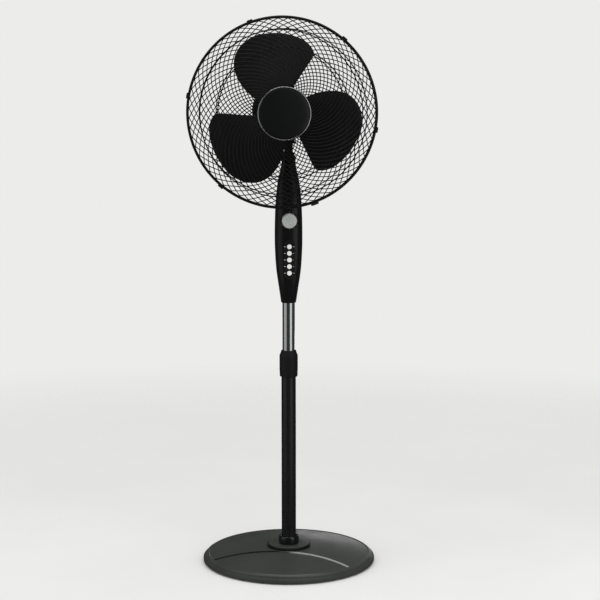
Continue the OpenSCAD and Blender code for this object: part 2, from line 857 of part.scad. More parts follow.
module motor_bearings() {
    color("#b98d4a") head() for (z = [bell_z - 6, motor_front - 2]) {
        translate([0, 0, z]) difference() {
            cylinder(r = seat_r, h = 12);
            translate([0, 0, -1]) cylinder(r = shaft_r + run, h = 14);
        }
    }
}

gearbox_back = crank_y + 16;

module gearbox_case() {
    color("#d9d6cc") difference() {
        union() {
            translate([crank_x - 16, -bell_z + 8, axis_z - 38]) cube([32, gearbox_back + bell_z - 8, 56]);
            translate([crank_x, crank_y, plate_z + 8]) cylinder(r = 8, h = axis_z - plate_z - 40);
        }
        translate([crank_x, crank_y, plate_z + 7]) cylinder(r = 4 + run, h = axis_z - plate_z - 23);
        translate([crank_x, crank_y, axis_z + 5]) cylinder(r = 3 + run, h = 20);
        head() translate([0, 0, -crank_y + 2]) cylinder(r = shaft_r + 2, h = 60);
        head() translate([0, 0, -gearbox_back - 1]) cylinder(r = 1.7, h = 10);
    }
}

// Outside radius of the motor's cover at distance y behind the pole
function cover_radius(y) = let (t = (y - 48) / (motor_back - 48))
    t <= 0 ? motor_r : motor_r * pow(1 - pow(min(t, 1), 2.6), 0.5) * 0.62 + motor_r * 0.38;

module motor_cover() {
    front = -motor_front + 5.5;
    rear = [for (i = [0 : 12]) let (y = 48 + (motor_back - 48) * sin(i * 7.5)) [cover_radius(y), -y]];
    inner = [for (i = [12 : -1 : 0]) [
        rear[i][0] - motor_wall, max(rear[i][1], -motor_back + motor_wall)
    ]];
    color("#151616") difference() {
        head() union() {
            rotate_extrude() polygon(concat(
                [[motor_r, -front]], rear, [[0, -motor_back], [0, -motor_back + motor_wall]], inner,
                [[motor_r - motor_wall, -front]]
            ));
            translate([0, 0, -motor_back + 1]) cylinder(r = 5, h = motor_back - gearbox_back - 1);
        }
        translate([-15, -60, plate_z - 20]) cube([44, 84, 47]);
        translate([crank_x, crank_y, plate_z - 10]) cylinder(r = 8.4, h = 40);
        translate([crank_x, crank_y, axis_z + 20]) cylinder(r = 3.6, h = 80);
        head() {
            translate([0, 0, -motor_back - 1]) cylinder(r = 2.2, h = 40);
            translate([0, 0, -motor_back - 1]) cylinder(r = 4.6, h = 4);
            for (i = [0 : 17]) {
                rotate([0, 0, i * 20]) translate([11, -1.4, -motor_back - 5]) cube([11, 2.8, 12]);
            }
        }
    }
}

module cover_screw() {
    color("#8c8c8a") head() union() {
        translate([0, 0, -motor_back + 2]) cylinder(r = 1.6, h = motor_back - gearbox_back + 5);
        translate([0, 0, -motor_back + 0.6]) cylinder(r = 4, h = 2.3);
    }
}

plate_r = motor_r - 1;

module rear_guard_plate() {
    color("#1d1e1f") head() translate([0, 0, motor_front]) difference() {
        cylinder(r = plate_r, h = 1.6);
        translate([0, 0, -1]) cylinder(r = nose_r + snug, h = 4);
    }
}

module guard_nut() {
    color("#26282a") head() translate([0, 0, motor_front + 1.6]) difference() {
        union() {
            cylinder(r = nose_r + 8, h = 7);
            for (i = [0 : 7]) {
                rotate([0, 0, i * 45]) translate([nose_r + 6, -3, 0]) cube([7, 6, 7]);
            }
        }
        translate([0, 0, -1]) cylinder(r = nose_r + run, h = 12);
    }
}

hoop_gap = 0.2;
front_rim_z = rim_front + hoop_r + hoop_gap / 2;
rear_rim_z = rim_front - hoop_r - hoop_gap / 2;
wire_end_r = rim_r - 1.3;
front_start_r = badge_r - 4;
rear_start_r = plate_r - 3;
rear_depth = rear_rim_z - motor_front - 1.6 - wire_d / 2;

// Centre line of a guard's spoke at parameter t, from 0 at the hub to 1 at the rim
function dome_r(t, start_r) = start_r + (wire_end_r - start_r) * pow(sin(90 * t), 0.76);
function dome_z(t, rim_z, depth) = rim_z + depth * pow(cos(90 * t), 0.76);
function sweep_turn(r, start_r) = wire_sweep * (r - start_r) / (wire_end_r - start_r);
function spoke(t, first, start_r, rim_z, depth, hand) = let (
    r = dome_r(t, start_r),
    a = first + hand * sweep_turn(r, start_r)
) [r * cos(a), r * sin(a), dome_z(t, rim_z, depth)];
function unit(v) = v / norm(v);

// All spokes of one guard, as one polyhedron of separate closed wires
module spokes(start_r, rim_z, depth, hand) {
    steps = 8;
    w = wire_d / 2;
    rings = [for (i = [0 : wire_n - 1], k = [0 : steps]) let (
        first = i * 360 / wire_n,
        t = k / steps,
        p = spoke(t, first, start_r, rim_z, depth, hand),
        along = unit(spoke(min(1, t + 0.02), first, start_r, rim_z, depth, hand)
            - spoke(max(0, t - 0.02), first, start_r, rim_z, depth, hand)),
        side = unit(cross(along, [0, 0, 1])),
        out = cross(side, along)
    ) [p + w * side, p + w * out, p - w * side, p - w * out]];
    ring_n = steps + 1;
    polyhedron(
        points = [for (ring = rings) each ring],
        faces = [for (i = [0 : wire_n - 1]) let (b = i * ring_n * 4, e = b + steps * 4) each concat(
            [[b, b + 1, b + 2, b + 3], [e + 3, e + 2, e + 1, e]],
            [for (k = [0 : steps - 1], j = [0 : 3]) let (c = b + k * 4) each [
                [c + j, c + 4 + j, c + 4 + (j + 1) % 4], [c + j, c + 4 + (j + 1) % 4, c + (j + 1) % 4]
            ]]
        )]
    );
}

module torus(ring_r, z, r) {
    translate([0, 0, z]) rotate_extrude($fn = 96) translate([ring_r, 0]) circle(r = r, $fn = 24);
}

module rear_guard_wires() {
    color("#1b1c1d") head() spokes(rear_start_r, rear_rim_z, -rear_depth, -1);
}

module rear_guard_hoops() {
    color("#1b1c1d") head() {
        torus(rim_r, rear_rim_z, hoop_r);
        for (t = [0.33, 0.58]) {
            torus(dome_r(t, rear_start_r), dome_z(t, rear_rim_z, -rear_depth) + 1.4, 1.2);
        }
    }
}

module front_guard_wires() {
    color("#1b1c1d") head() spokes(front_start_r, front_rim_z, front_depth, 1);
}

module front_guard_hoops() {
    color("#1b1c1d") head() {
        torus(rim_r, front_rim_z, hoop_r);
        for (t = [0, 0.33, 0.58]) {
            ring_r = dome_r(t, front_start_r) + (t > 0 ? 0 : 1.5);
            torus(ring_r, dome_z(t, front_rim_z, front_depth) - 1.4, 1.2);
        }
    }
}

badge_z = front_rim_z + front_depth + wire_d / 2;

module guard_badge() {
    color("#121313") head() translate([0, 0, badge_z]) rotate_extrude() polygon(concat(
        [[0, 0], [badge_r - 1.5, 0], [badge_r - 1.5, 3]],
        [for (i = [0 : 6]) [(badge_r - 2) * cos(i * 15), 3.4 + 4.6 * sin(i * 15)]]
    ));
}

module badge_ring() {
    color("#b8babb") head() translate([0, 0, badge_z]) rotate_extrude() polygon([
        [badge_r - 1.5, 0], [badge_r + 1, 0], [badge_r + 2, 1.5], [badge_r + 1, 4], [badge_r - 0.6, 4.6],
        [badge_r - 1.5, 3]
    ]);
}

// Clips that hold the two rim hoops together, each a short piece of ring
module rim_clips() {
    color("#1b1c1d") head() for (i = [0 : clip_n - 1]) {
        rotate([0, 0, clip_turn + i * 360 / clip_n]) translate([0, 0, rim_front]) {
            rotate_extrude(angle = 3.4) difference() {
                translate([rim_r - 0.4, -hoop_d - 2.6]) square([hoop_r + 3, 2 * hoop_d + 5.2]);
                translate([rim_r, hoop_r + hoop_gap / 2]) circle(r = hoop_r + 0.02);
                translate([rim_r, -hoop_r - hoop_gap / 2]) circle(r = hoop_r + 0.02);
            }
        }
    }
}

// ---------------------------------------------------------------- rotor

blade_back = rim_front - petal_rise / 2 - 3;
blade_front = rim_front + petal_rise / 2 + 3;

module motor_rotor() {
    color("#8d8f92") head() union() {
        translate([0, 0, -crank_y + 8]) cylinder(r = shaft_r, h = blade_front + 6 + crank_y - 8);
        translate([0, 0, -stator_len / 2]) cylinder(r = stator_r * 0.57 - 0.5, h = stator_len);
    }
}

// Petal edges, as the angle at a share of the blade's radius
round_edge = [
    [0.19, 158], [0.4, 153], [0.52, 149.5], [0.645, 145], [0.764, 140], [0.85, 135], [0.91, 130], [0.95, 125],
    [0.978, 120], [0.992, 115], [1, 111]
];
straight_edge = [
    [0.19, 66], [0.39, 64.5], [0.61, 61.5], [0.78, 60.5], [0.84, 61.5], [0.88, 65], [0.92, 70.5],
    [0.945, 77], [0.965, 85.5], [0.98, 93.5], [0.99, 101], [1, 107]
];

function petal_point(u, v, face) = let (
    share = 0.19 + 0.81 * sin(90 * u),
    a0 = lookup(share, straight_edge),
    a1 = lookup(share, round_edge),
    a = a0 + (a1 - a0) * v,
    r = blade_r * share,
    rise = petal_rise * ((a - 109) / 98 + 0.07 * sin(180 * v))
) [r * cos(a), r * sin(a), rim_front + rise + face * petal_t / 2];

module petal() {
    n = 12;
    front = [for (i = [0 : n], j = [0 : n]) petal_point(i / n, j / n, 1)];
    back = [for (i = [0 : n], j = [0 : n]) petal_point(i / n, j / n, -1)];
    m = n + 1;
    off = m * m;
    border = concat(
        [for (j = [0 : n - 1]) [j, j + 1]],
        [for (i = [0 : n - 1]) [i * m + n, (i + 1) * m + n]],
        [for (j = [n : -1 : 1]) [n * m + j, n * m + j - 1]],
        [for (i = [n : -1 : 1]) [i * m, (i - 1) * m]]
    );
    polyhedron(
        points = concat(front, back),
        faces = concat(
            [for (i = [0 : n - 1], j = [0 : n - 1]) let (a = i * m + j) each [
                [a, a + 1, a + m + 1], [a, a + m + 1, a + m],
                [off + a, off + a + m + 1, off + a + 1], [off + a, off + a + m, off + a + m + 1]
            ]],
            [for (e = border) each [[e[1], e[0], off + e[0]], [e[1], off + e[0], off + e[1]]]]
        )
    );
}

module fan_blade() {
    color("#0e0f0f") head() difference() {
        union() {
            rotate_extrude() polygon([
                [0, blade_front], [hub_r - 6, blade_front], [hub_r, blade_front - 6], [hub_r, blade_back],
                [hub_r - 4, blade_back], [hub_r - 4, blade_front - 8], [hub_r - 9, blade_front - 4],
                [11, blade_front - 4], [11, blade_back - 14], [0, blade_back - 14]
            ]);
            for (i = [0 : petal_n - 1]) {
                rotate([0, 0, i * 360 / petal_n]) petal();
            }
            translate([0, 0, blade_front - 1]) cylinder(r1 = 15, r2 = 11, h = 15);
        }
        translate([0, 0, blade_back - 20]) cylinder(r = shaft_r, h = blade_front - blade_back + 26);
    }
}

// ---------------------------------------------------------------- assembly

base_feet();
base_pan();
base_weight();
base_cover();
pole_boss();
foot_nut();
base_bolt();
base_washer();
pole_plug();
lower_pole();
collar_bush();
height_collar();
inner_pole();
pole_stop();
pole_socket();
housing_front();
housing_rear();
housing_screws();
button_panel();
knob_bezel();
timer_unit();
switch_block();
capacitor();
cord_gland();
tilt_yoke();
tilt_bolt();
timer_knob();
button(2, "#e9ebe8");  // button_light
button(1, "#e9ebe8");  // button_high
button(0, "#e9ebe8");  // button_medium
button(-1, "#e9ebe8");  // button_low
button(-2, "#e9ebe8");  // button_off
tilt_knob();
tilt_knuckle();
swing_pin();
swing_clip();
link_stud();
motor_mount();
stator_core();
stator_windings();
rear_bell();
motor_bolts();
motor_bearings();
gearbox_case();
motor_cover();
cover_screw();
rear_guard_plate();
guard_nut();
rear_guard_wires();
rear_guard_hoops();
front_guard_wires();
front_guard_hoops();
guard_badge();
badge_ring();
rim_clips();
swing_knob();
swing_crank();
swing_link();
motor_rotor();
fan_blade();
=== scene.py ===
"""Pedestal fan: studio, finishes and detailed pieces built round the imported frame."""

import logging
import math
from collections.abc import Callable, Iterable, Sequence
from dataclasses import dataclass
from enum import Enum

import bmesh
import bpy
import numpy as np
from mathutils import Matrix, Vector


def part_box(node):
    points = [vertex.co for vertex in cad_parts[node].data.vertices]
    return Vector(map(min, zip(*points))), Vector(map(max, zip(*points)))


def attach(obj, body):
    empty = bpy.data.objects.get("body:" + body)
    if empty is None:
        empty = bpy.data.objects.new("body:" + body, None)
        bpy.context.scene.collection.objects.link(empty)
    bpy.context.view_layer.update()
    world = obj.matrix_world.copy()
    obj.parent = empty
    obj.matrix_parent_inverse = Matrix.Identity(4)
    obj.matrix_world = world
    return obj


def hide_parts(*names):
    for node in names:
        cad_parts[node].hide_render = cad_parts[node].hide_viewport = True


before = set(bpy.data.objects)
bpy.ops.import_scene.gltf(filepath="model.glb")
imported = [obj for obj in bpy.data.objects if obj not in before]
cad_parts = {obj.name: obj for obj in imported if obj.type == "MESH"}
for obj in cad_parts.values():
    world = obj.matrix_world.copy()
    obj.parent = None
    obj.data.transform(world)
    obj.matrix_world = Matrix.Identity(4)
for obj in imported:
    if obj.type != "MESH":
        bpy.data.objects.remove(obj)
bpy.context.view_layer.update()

LOG = logging.getLogger("pedestal_fan")
MM = 0.001
Colour = tuple[float, float, float]
Corner = tuple[float, float, float]
Flat = tuple[float, float]
Ripple = Callable[[np.ndarray, float, float], np.ndarray]


# ---------------------------------------------------------------- shader graphs


class Graph:
    """One material's node tree, with short ways to add the nodes that finishes share."""

    def __init__(self, name: str) -> None:
        """Starts an empty tree with a principled shader.

        Args:
            name: the material's name.
        """
        self.material = bpy.data.materials.new(name)
        self.material.use_nodes = True
        self.tree = self.material.node_tree
        self.tree.nodes.clear()
        output = self.tree.nodes.new("ShaderNodeOutputMaterial")
        self.shader = self.tree.nodes.new("ShaderNodeBsdfPrincipled")
        self.join(self.shader.outputs["BSDF"], output.inputs["Surface"])
        self.place = self.tree.nodes.new("ShaderNodeTexCoord").outputs["Object"]

    def join(self, source: bpy.types.NodeSocket, target: bpy.types.NodeSocket) -> None:
        """Links one socket to another."""
        self.tree.links.new(source, target)

    def scaled(self, stretch: Colour) -> bpy.types.NodeSocket:
        """Object coordinates scaled on each axis.

        Args:
            stretch: factor along X, Y and Z.

        Returns:
            The vector socket.
        """
        node = self.tree.nodes.new("ShaderNodeMapping")
        node.inputs["Scale"].default_value = stretch
        self.join(self.place, node.inputs["Vector"])
        return node.outputs["Vector"]

    def noise(self, scale: float, detail: float = 3.0, stretch: Colour = (1.0, 1.0, 1.0)) -> bpy.types.NodeSocket:
        """Fractal noise in the frame's own coordinates.

        Args:
            scale: how many blobs there are per metre.
            detail: octaves.
            stretch: factor along each axis, for drawn or brushed surfaces.

        Returns:
            The noise value socket.
        """
        node = self.tree.nodes.new("ShaderNodeTexNoise")
        node.inputs["Scale"].default_value = scale
        node.inputs["Detail"].default_value = detail
        node.inputs["Roughness"].default_value = 0.55
        self.join(self.scaled(stretch), node.inputs["Vector"])
        return node.outputs["Fac"]

    def cells(self, scale: float) -> bpy.types.NodeSocket:
        """Voronoi cell distance, for flakes and cast skins."""
        node = self.tree.nodes.new("ShaderNodeTexVoronoi")
        node.inputs["Scale"].default_value = scale
        self.join(self.place, node.inputs["Vector"])
        return node.outputs["Distance"]

    def bands(self, scale: float, axis: str, warp: float = 0.0) -> bpy.types.NodeSocket:
        """Parallel bands across an axis, for laminations and turned or wound surfaces.

        Args:
            scale: bands per metre, roughly.
            axis: "X", "Y" or "Z".
            warp: how much noise bends the bands.

        Returns:
            The band value socket.
        """
        node = self.tree.nodes.new("ShaderNodeTexWave")
        node.bands_direction = axis
        node.inputs["Scale"].default_value = scale
        node.inputs["Distortion"].default_value = warp
        self.join(self.place, node.inputs["Vector"])
        return node.outputs["Fac"]

    def remap(
        self, value: bpy.types.NodeSocket, low: float, high: float, start: float = 0.3, end: float = 0.7
    ) -> bpy.types.NodeSocket:
        """Maps a value from start..end to low..high, clamped.

        Args:
            value: the socket to map.
            low: result at start.
            high: result at end.
            start: lower end of the input range.
            end: upper end of the input range.

        Returns:
            The mapped socket.
        """
        node = self.tree.nodes.new("ShaderNodeMapRange")
        for key, number in (("From Min", start), ("From Max", end), ("To Min", low), ("To Max", high)):
            node.inputs[key].default_value = number
        self.join(value, node.inputs["Value"])
        return node.outputs["Result"]

    def math(
        self, kind: str, first: bpy.types.NodeSocket, second: bpy.types.NodeSocket | float
    ) -> bpy.types.NodeSocket:
        """Joins two values by one arithmetic step.

        Args:
            kind: the math node's operation.
            first: a socket.
            second: a socket or a number.

        Returns:
            The result socket.
        """
        node = self.tree.nodes.new("ShaderNodeMath")
        node.operation = kind
        self.join(first, node.inputs[0])
        if isinstance(second, (int, float)):
            node.inputs[1].default_value = second
        else:
            self.join(second, node.inputs[1])
        return node.outputs["Value"]

    def vector(self, kind: str, first: bpy.types.NodeSocket, second: Colour = (0.0, 0.0, 0.0)) -> bpy.types.Node:
        """Takes one step on a vector.

        Args:
            kind: the vector math node's operation.
            first: a vector socket.
            second: the constant vector, where the step takes one.

        Returns:
            The node, with its Vector and Value outputs.
        """
        node = self.tree.nodes.new("ShaderNodeVectorMath")
        node.operation = kind
        node.inputs[1].default_value = second
        self.join(first, node.inputs[0])
        return node

    def overlay(
        self, factor: bpy.types.NodeSocket, under: bpy.types.NodeSocket, colour: Colour
    ) -> bpy.types.NodeSocket:
        """Lays a colour over another by a factor socket.

        Args:
            factor: 0 keeps what is under, 1 gives the colour.
            under: the colour socket below.
            colour: the linear colour on top.

        Returns:
            The colour socket.
        """
        node = self.tree.nodes.new("ShaderNodeMix")
        node.data_type = "RGBA"
        node.inputs[7].default_value = (*colour, 1.0)
        self.join(factor, node.inputs[0])
        self.join(under, node.inputs[6])
        return node.outputs[2]

    def blend(self, factor: bpy.types.NodeSocket, first: Colour, second: Colour) -> bpy.types.NodeSocket:
        """Mixes two colours by a factor socket.

        Args:
            factor: 0 gives first, 1 gives second.
            first: a linear colour.
            second: a linear colour.

        Returns:
            The colour socket.
        """
        node = self.tree.nodes.new("ShaderNodeMix")
        node.data_type = "RGBA"
        node.inputs[6].default_value = (*first, 1.0)
        node.inputs[7].default_value = (*second, 1.0)
        self.join(factor, node.inputs[0])
        return node.outputs[2]

    def edges(self, start: float = 0.56, end: float = 0.66) -> bpy.types.NodeSocket:
        """1 on sharp convex edges and 0 on flats, from the surface's own pointiness.

        Args:
            start: pointiness at which wear begins.
            end: pointiness at which it is full.

        Returns:
            The edge mask socket.
        """
        node = self.tree.nodes.new("ShaderNodeNewGeometry")
        return self.remap(node.outputs["Pointiness"], 0.0, 1.0, start, end)

    def bump(self, height: bpy.types.NodeSocket, depth: float, strength: float) -> None:
        """Adds relief on top of any that the shader has already.

        Args:
            height: the height value, 0 to 1.
            depth: relief in metres.
            strength: share of the relief that shows.
        """
        node = self.tree.nodes.new("ShaderNodeBump")
        node.inputs["Strength"].default_value = strength
        node.inputs["Distance"].default_value = depth
        self.join(height, node.inputs["Height"])
        normal = self.shader.inputs["Normal"]
        if normal.is_linked:
            self.join(normal.links[0].from_socket, node.inputs["Normal"])
        self.join(node.outputs["Normal"], normal)


# ---------------------------------------------------------------- finishes


@dataclass(frozen=True)
class Finish:
    """A moulded or painted surface: tint variation, uneven gloss, fine grain and worn edges.

    Colours are linear. Scales are per metre and depths in metres.
    """

    name: str
    slot: str
    colour: Colour
    roughness: float
    metallic: float = 0.0
    specular: float = 0.5
    coat: float = 0.0
    grain: float = 1400.0
    grain_depth: float = 0.00003
    grain_strength: float = 0.15
    tint_spread: float = 0.12
    rough_spread: float = 0.06
    worn: Colour | None = None
    wear: float = 0.35

    def make(self) -> bpy.types.Material:
        """Builds the material.

        Returns:
            The finished material.
        """
        graph = Graph(self.name)
        shader = graph.shader.inputs
        shader["Metallic"].default_value = self.metallic
        shader["Specular IOR Level"].default_value = self.specular
        shader["Coat Weight"].default_value = self.coat
        shader["Coat Roughness"].default_value = 0.06
        self.dress(graph)
        return graph.material

    def dress(self, graph: Graph) -> None:
        """Adds colour, gloss and grain nodes to the graph."""
        self.colour_in(graph, graph.noise(9.0, 4.0))
        self.gloss_in(graph, graph.noise(23.0, 6.0))
        self.grain_in(graph)

    def colour_in(self, graph: Graph, mask: bpy.types.NodeSocket) -> None:
        """Links a base colour that drifts with the mask and lightens where it is worn."""
        low = tuple(c * (1.0 - self.tint_spread) for c in self.colour)
        high = tuple(c * (1.0 + self.tint_spread) for c in self.colour)
        tint = graph.blend(graph.remap(mask, 0.0, 1.0), low, high)
        if self.worn is not None:
            patchy = graph.remap(graph.noise(260.0, 5.0), 0.0, self.wear, 0.42, 0.66)
            tint = graph.overlay(graph.math("MULTIPLY", graph.edges(), patchy), tint, self.worn)
        graph.join(tint, graph.shader.inputs["Base Color"])

    def gloss_in(self, graph: Graph, mask: bpy.types.NodeSocket) -> None:
        """Links a roughness that wanders with handling marks and fine scuffs."""
        low, high = self.roughness - self.rough_spread, self.roughness + self.rough_spread
        broad = graph.remap(mask, max(low, 0.02), high)
        scuffs = graph.remap(graph.noise(900.0, 2.0, (1.0, 1.0, 0.12)), 0.0, self.rough_spread, 0.62, 0.74)
        graph.join(graph.math("ADD", broad, scuffs), graph.shader.inputs["Roughness"])

    def grain_in(self, graph: Graph) -> None:
        """Adds the fine surface grain."""
        graph.bump(graph.noise(self.grain, 2.0), self.grain_depth, self.grain_strength)


@dataclass(frozen=True)
class DrawnMetal(Finish):
    """Bright drawn or rolled metal with faint scratches along one axis."""

    along: Colour = (1.0, 1.0, 0.02)

    def dress(self, graph: Graph) -> None:
        """Adds stretched scratches to the gloss and relief."""
        streaks = graph.noise(1100.0, 3.0, self.along)
        self.colour_in(graph, graph.noise(14.0, 3.0))
        self.gloss_in(graph, graph.noise(60.0, 6.0, self.along))
        graph.bump(streaks, self.grain_depth, self.grain_strength)


@dataclass(frozen=True)
class FlakePaint(Finish):
    """Silver paint with fine metal flakes."""

    def grain_in(self, graph: Graph) -> None:
        """Adds flakes over a light orange peel."""
        graph.bump(graph.cells(2600.0), self.grain_depth, self.grain_strength)
        graph.bump(graph.noise(420.0, 1.0), 0.00006, 0.12)


@dataclass(frozen=True)
class CastSkin(Finish):
    """Sand-cast or sintered metal: pits over a coarse skin."""

    def grain_in(self, graph: Graph) -> None:
        """Adds the coarse skin and the pits."""
        graph.bump(graph.noise(330.0, 6.0), 0.0006, 0.5)
        graph.bump(graph.cells(self.grain), self.grain_depth, self.grain_strength)


@dataclass(frozen=True)
class Banded(Finish):
    """Stacked laminations or wound wire, as bands across one axis."""

    pitch: float = 320.0
    across: str = "Y"
    warp: float = 0.0

    def grain_in(self, graph: Graph) -> None:
        """Adds the bands as relief, with a light grain."""
        graph.bump(graph.bands(self.pitch, self.across, self.warp), 0.0004, 0.7)
        graph.bump(graph.noise(self.grain, 3.0), self.grain_depth, self.grain_strength)


@dataclass(frozen=True)
class Peel(Finish):
    """Glossy moulding or lacquer: a slow ripple under a hard shine, with dust and smears."""

    ripple: float = 130.0
    ripple_depth: float = 0.00012

    def gloss_in(self, graph: Graph, mask: bpy.types.NodeSocket) -> None:
        """Links a roughness with broad smears and pin-sharp dust."""
        smears = graph.remap(graph.noise(17.0, 7.0, (1.0, 1.0, 0.45)), 0.0, self.rough_spread * 1.4, 0.45, 0.7)
        dust = graph.remap(graph.noise(1500.0, 1.0), 0.0, 0.08, 0.72, 0.8)
        base = graph.remap(mask, self.roughness - self.rough_spread * 0.5, self.roughness + self.rough_spread * 0.5)
        graph.join(graph.math("ADD", graph.math("ADD", base, smears), dust), graph.shader.inputs["Roughness"])

    def grain_in(self, graph: Graph) -> None:
        """Adds the ripple and the fine grain."""
        graph.bump(graph.noise(self.ripple, 1.0), self.ripple_depth, 0.10)
        graph.bump(graph.noise(self.grain, 2.0), self.grain_depth, self.grain_strength)


@dataclass(frozen=True)
class LacquerWithPaintedLight(Peel):
    """Lacquer on the pressed cover, with a tinted line along the crescent: dark on one half, bright on the other.

    The line is a tint placed by position, and stands in for a shadow and a highlight.
    """

    centre: Colour = (0.08, 0.32, 0.0)
    fold_r: float = 0.28
    core_w: float = 0.0011
    fade_w: float = 0.0022
    # bright is the colour of the painted highlight on the right half of the line; dark is the colour of the painted
    # shade on the left half
    bright: Colour = (0.42, 0.44, 0.42)
    dark: Colour = (0.012, 0.013, 0.012)
    turn: Flat = (-0.035, 0.015)
    ends: Flat = (0.181, 0.184)

    def colour_in(self, graph: Graph, mask: bpy.types.NodeSocket) -> None:
        """Adds the painted highlight and the painted shade, one on each half of the line, to the drifting colour."""
        super().colour_in(graph, mask)
        moved = graph.vector("ADD", graph.place, self.centre)
        flat = graph.vector("MULTIPLY", moved.outputs["Vector"], (1.0, 1.0, 0.0))
        reach = graph.vector("LENGTH", flat.outputs["Vector"]).outputs["Value"]
        line = graph.remap(graph.math("ABSOLUTE", graph.math("SUBTRACT", reach, self.fold_r), 0.0),
                           1.0, 0.0, self.core_w, self.fade_w)
        within = graph.remap(graph.vector("LENGTH", graph.place).outputs["Value"], 1.0, 0.0, *self.ends)
        side = graph.tree.nodes.new("ShaderNodeSeparateXYZ")
        graph.join(graph.place, side.inputs[0])
        base = graph.shader.inputs["Base Color"]
        # painted highlight on the right half and painted shade on the left half of the crescent's edge, both placed by
        # position
        for colour, left, right in ((self.bright, 0.0, 1.0), (self.dark, 1.0, 0.0)):
            share = graph.remap(side.outputs["X"], left, right, *self.turn)
            factor = graph.math("MULTIPLY", graph.math("MULTIPLY", line, share), within)
            graph.join(graph.overlay(factor, base.links[0].from_socket, colour), base)


GREY_EDGE = (0.09, 0.09, 0.088)

HOUSING_GLOSS = Peel("housing_gloss", "black_gloss", (0.0052, 0.0056, 0.0056), 0.24, specular=0.26,
                     worn=GREY_EDGE, wear=0.12, grain=2200.0, ripple_depth=0.00006)
BADGE_GLOSS = Peel("badge_gloss", "black_gloss", (0.0052, 0.0056, 0.0056), 0.32, specular=0.22,
                   worn=GREY_EDGE, wear=0.08, ripple=90.0)
BLADE_SATIN = Peel("blade_satin", "black_satin", (0.0050, 0.0054, 0.0054), 0.40, specular=0.25,
                   worn=GREY_EDGE, wear=0.15, ripple=70.0, ripple_depth=0.0002, rough_spread=0.08)
PANEL_SATIN = Finish("panel_satin", "black_satin", (0.0070, 0.0074, 0.0078), 0.42, specular=0.28,
                     grain=2600.0, grain_depth=0.00005, grain_strength=0.3, worn=GREY_EDGE, wear=0.2)
GRIP_MATTE = Finish("grip_matte", "black_soft", (0.0066, 0.0070, 0.0078), 0.55, specular=0.26,
                    grain=2400.0, grain_depth=0.00007, grain_strength=0.4, worn=GREY_EDGE, wear=0.3)
CAST_BLACK = Finish("cast_black", "black_satin", (0.0080, 0.0084, 0.0086), 0.45, specular=0.3,
                    grain=1100.0, grain_depth=0.0001, grain_strength=0.35, worn=GREY_EDGE, wear=0.35)
WIRE_COAT = Finish("wire_coat", "wire_black", (0.0050, 0.0052, 0.0052), 0.38, specular=0.25,
                   grain=1900.0, grain_depth=0.00006, grain_strength=0.3)
# the cover's finish: lacquer with a painted highlight and a painted shade along the crescent's edge
COVER_LACQUER_PAINTED_LIGHT = LacquerWithPaintedLight("cover_lacquer_painted_light", "cover_gloss", (0.0480, 0.0530, 0.0480), 0.30, specular=0.5,
                     worn=(0.17, 0.18, 0.17), wear=0.3, ripple=60.0, ripple_depth=0.0001)
PAN_ENAMEL = Finish("pan_enamel", "pan_grey", (0.042, 0.046, 0.042), 0.46, specular=0.4,
                    grain=900.0, grain_depth=0.00012, grain_strength=0.3, worn=(0.2, 0.2, 0.195), wear=0.4)
POLE_LACQUER = Peel("pole_lacquer", "painted_pole", (0.0066, 0.0072, 0.0072), 0.28, specular=0.32,
                    worn=GREY_EDGE, wear=0.25, ripple=200.0, ripple_depth=0.00003, grain_strength=0.08)
NUT_LACQUER = Peel("nut_lacquer", "painted_pole", (0.0052, 0.0056, 0.0056), 0.16, specular=0.6,
                   worn=GREY_EDGE, wear=0.2, ripple_depth=0.00003)
FOOT_RUBBER = Finish("foot_rubber", "foot_rubber", (0.016, 0.016, 0.016), 0.82, specular=0.3,
                     grain=700.0, grain_depth=0.0002, grain_strength=0.5)
CHROME = DrawnMetal("tube_chrome", "chrome", (0.55, 0.57, 0.57), 0.15, metallic=1.0, tint_spread=0.03,
                    rough_spread=0.025, grain_depth=0.000003, grain_strength=0.05)
RING_CHROME = DrawnMetal("ring_chrome", "chrome", (0.46, 0.47, 0.47), 0.24, metallic=1.0,
                         tint_spread=0.03, rough_spread=0.03, along=(1.0, 1.0, 1.0),
                         grain_depth=0.00001, grain_strength=0.1)
KNOB_SILVER = FlakePaint("knob_silver", "silver_plastic", (0.52, 0.54, 0.52), 0.40, metallic=0.2,
                         tint_spread=0.06, grain_depth=0.00003, grain_strength=0.12,
                         worn=(0.62, 0.63, 0.62), wear=0.5)
KEY_WHITE = Finish("key_white", "white_plastic", (0.88, 0.88, 0.86), 0.34, tint_spread=0.04,
                   grain=2600.0, grain_depth=0.00003, grain_strength=0.2)
MARK_PAINT = Finish("mark_paint", "white_plastic", (0.80, 0.81, 0.80), 0.5, tint_spread=0.08)
IVORY = Finish("ivory_moulding", "ivory_plastic", (0.60, 0.57, 0.47), 0.45, tint_spread=0.06)
ZINC = CastSkin("zinc_plate", "zinc_steel", (0.55, 0.56, 0.55), 0.30, metallic=1.0, tint_spread=0.1,
                grain=2000.0, grain_depth=0.00003, grain_strength=0.2)
IRON = CastSkin("cast_iron", "cast_weight", (0.075, 0.068, 0.060), 0.75, metallic=0.4, tint_spread=0.3,
                grain=500.0, grain_depth=0.0004, grain_strength=0.5)
CORE = Banded("core_steel", "core_steel", (0.20, 0.205, 0.21), 0.42, metallic=0.9, pitch=330.0)
COPPER = Banded("winding_copper", "copper", (0.45, 0.20, 0.07), 0.32, metallic=0.8, pitch=160.0,
                across="X", warp=3.0)
ALUMINIUM = CastSkin("bell_aluminium", "bell_aluminium", (0.48, 0.49, 0.50), 0.42, metallic=1.0,
                     grain=900.0, grain_depth=0.0001, grain_strength=0.3)
BRONZE = CastSkin("bearing_bronze", "bronze", (0.46, 0.30, 0.13), 0.40, metallic=1.0, grain=1600.0)
CAN_BLUE = Finish("capacitor_can", "blue_plastic", (0.02, 0.055, 0.19), 0.35)


# ---------------------------------------------------------------- mesh tools


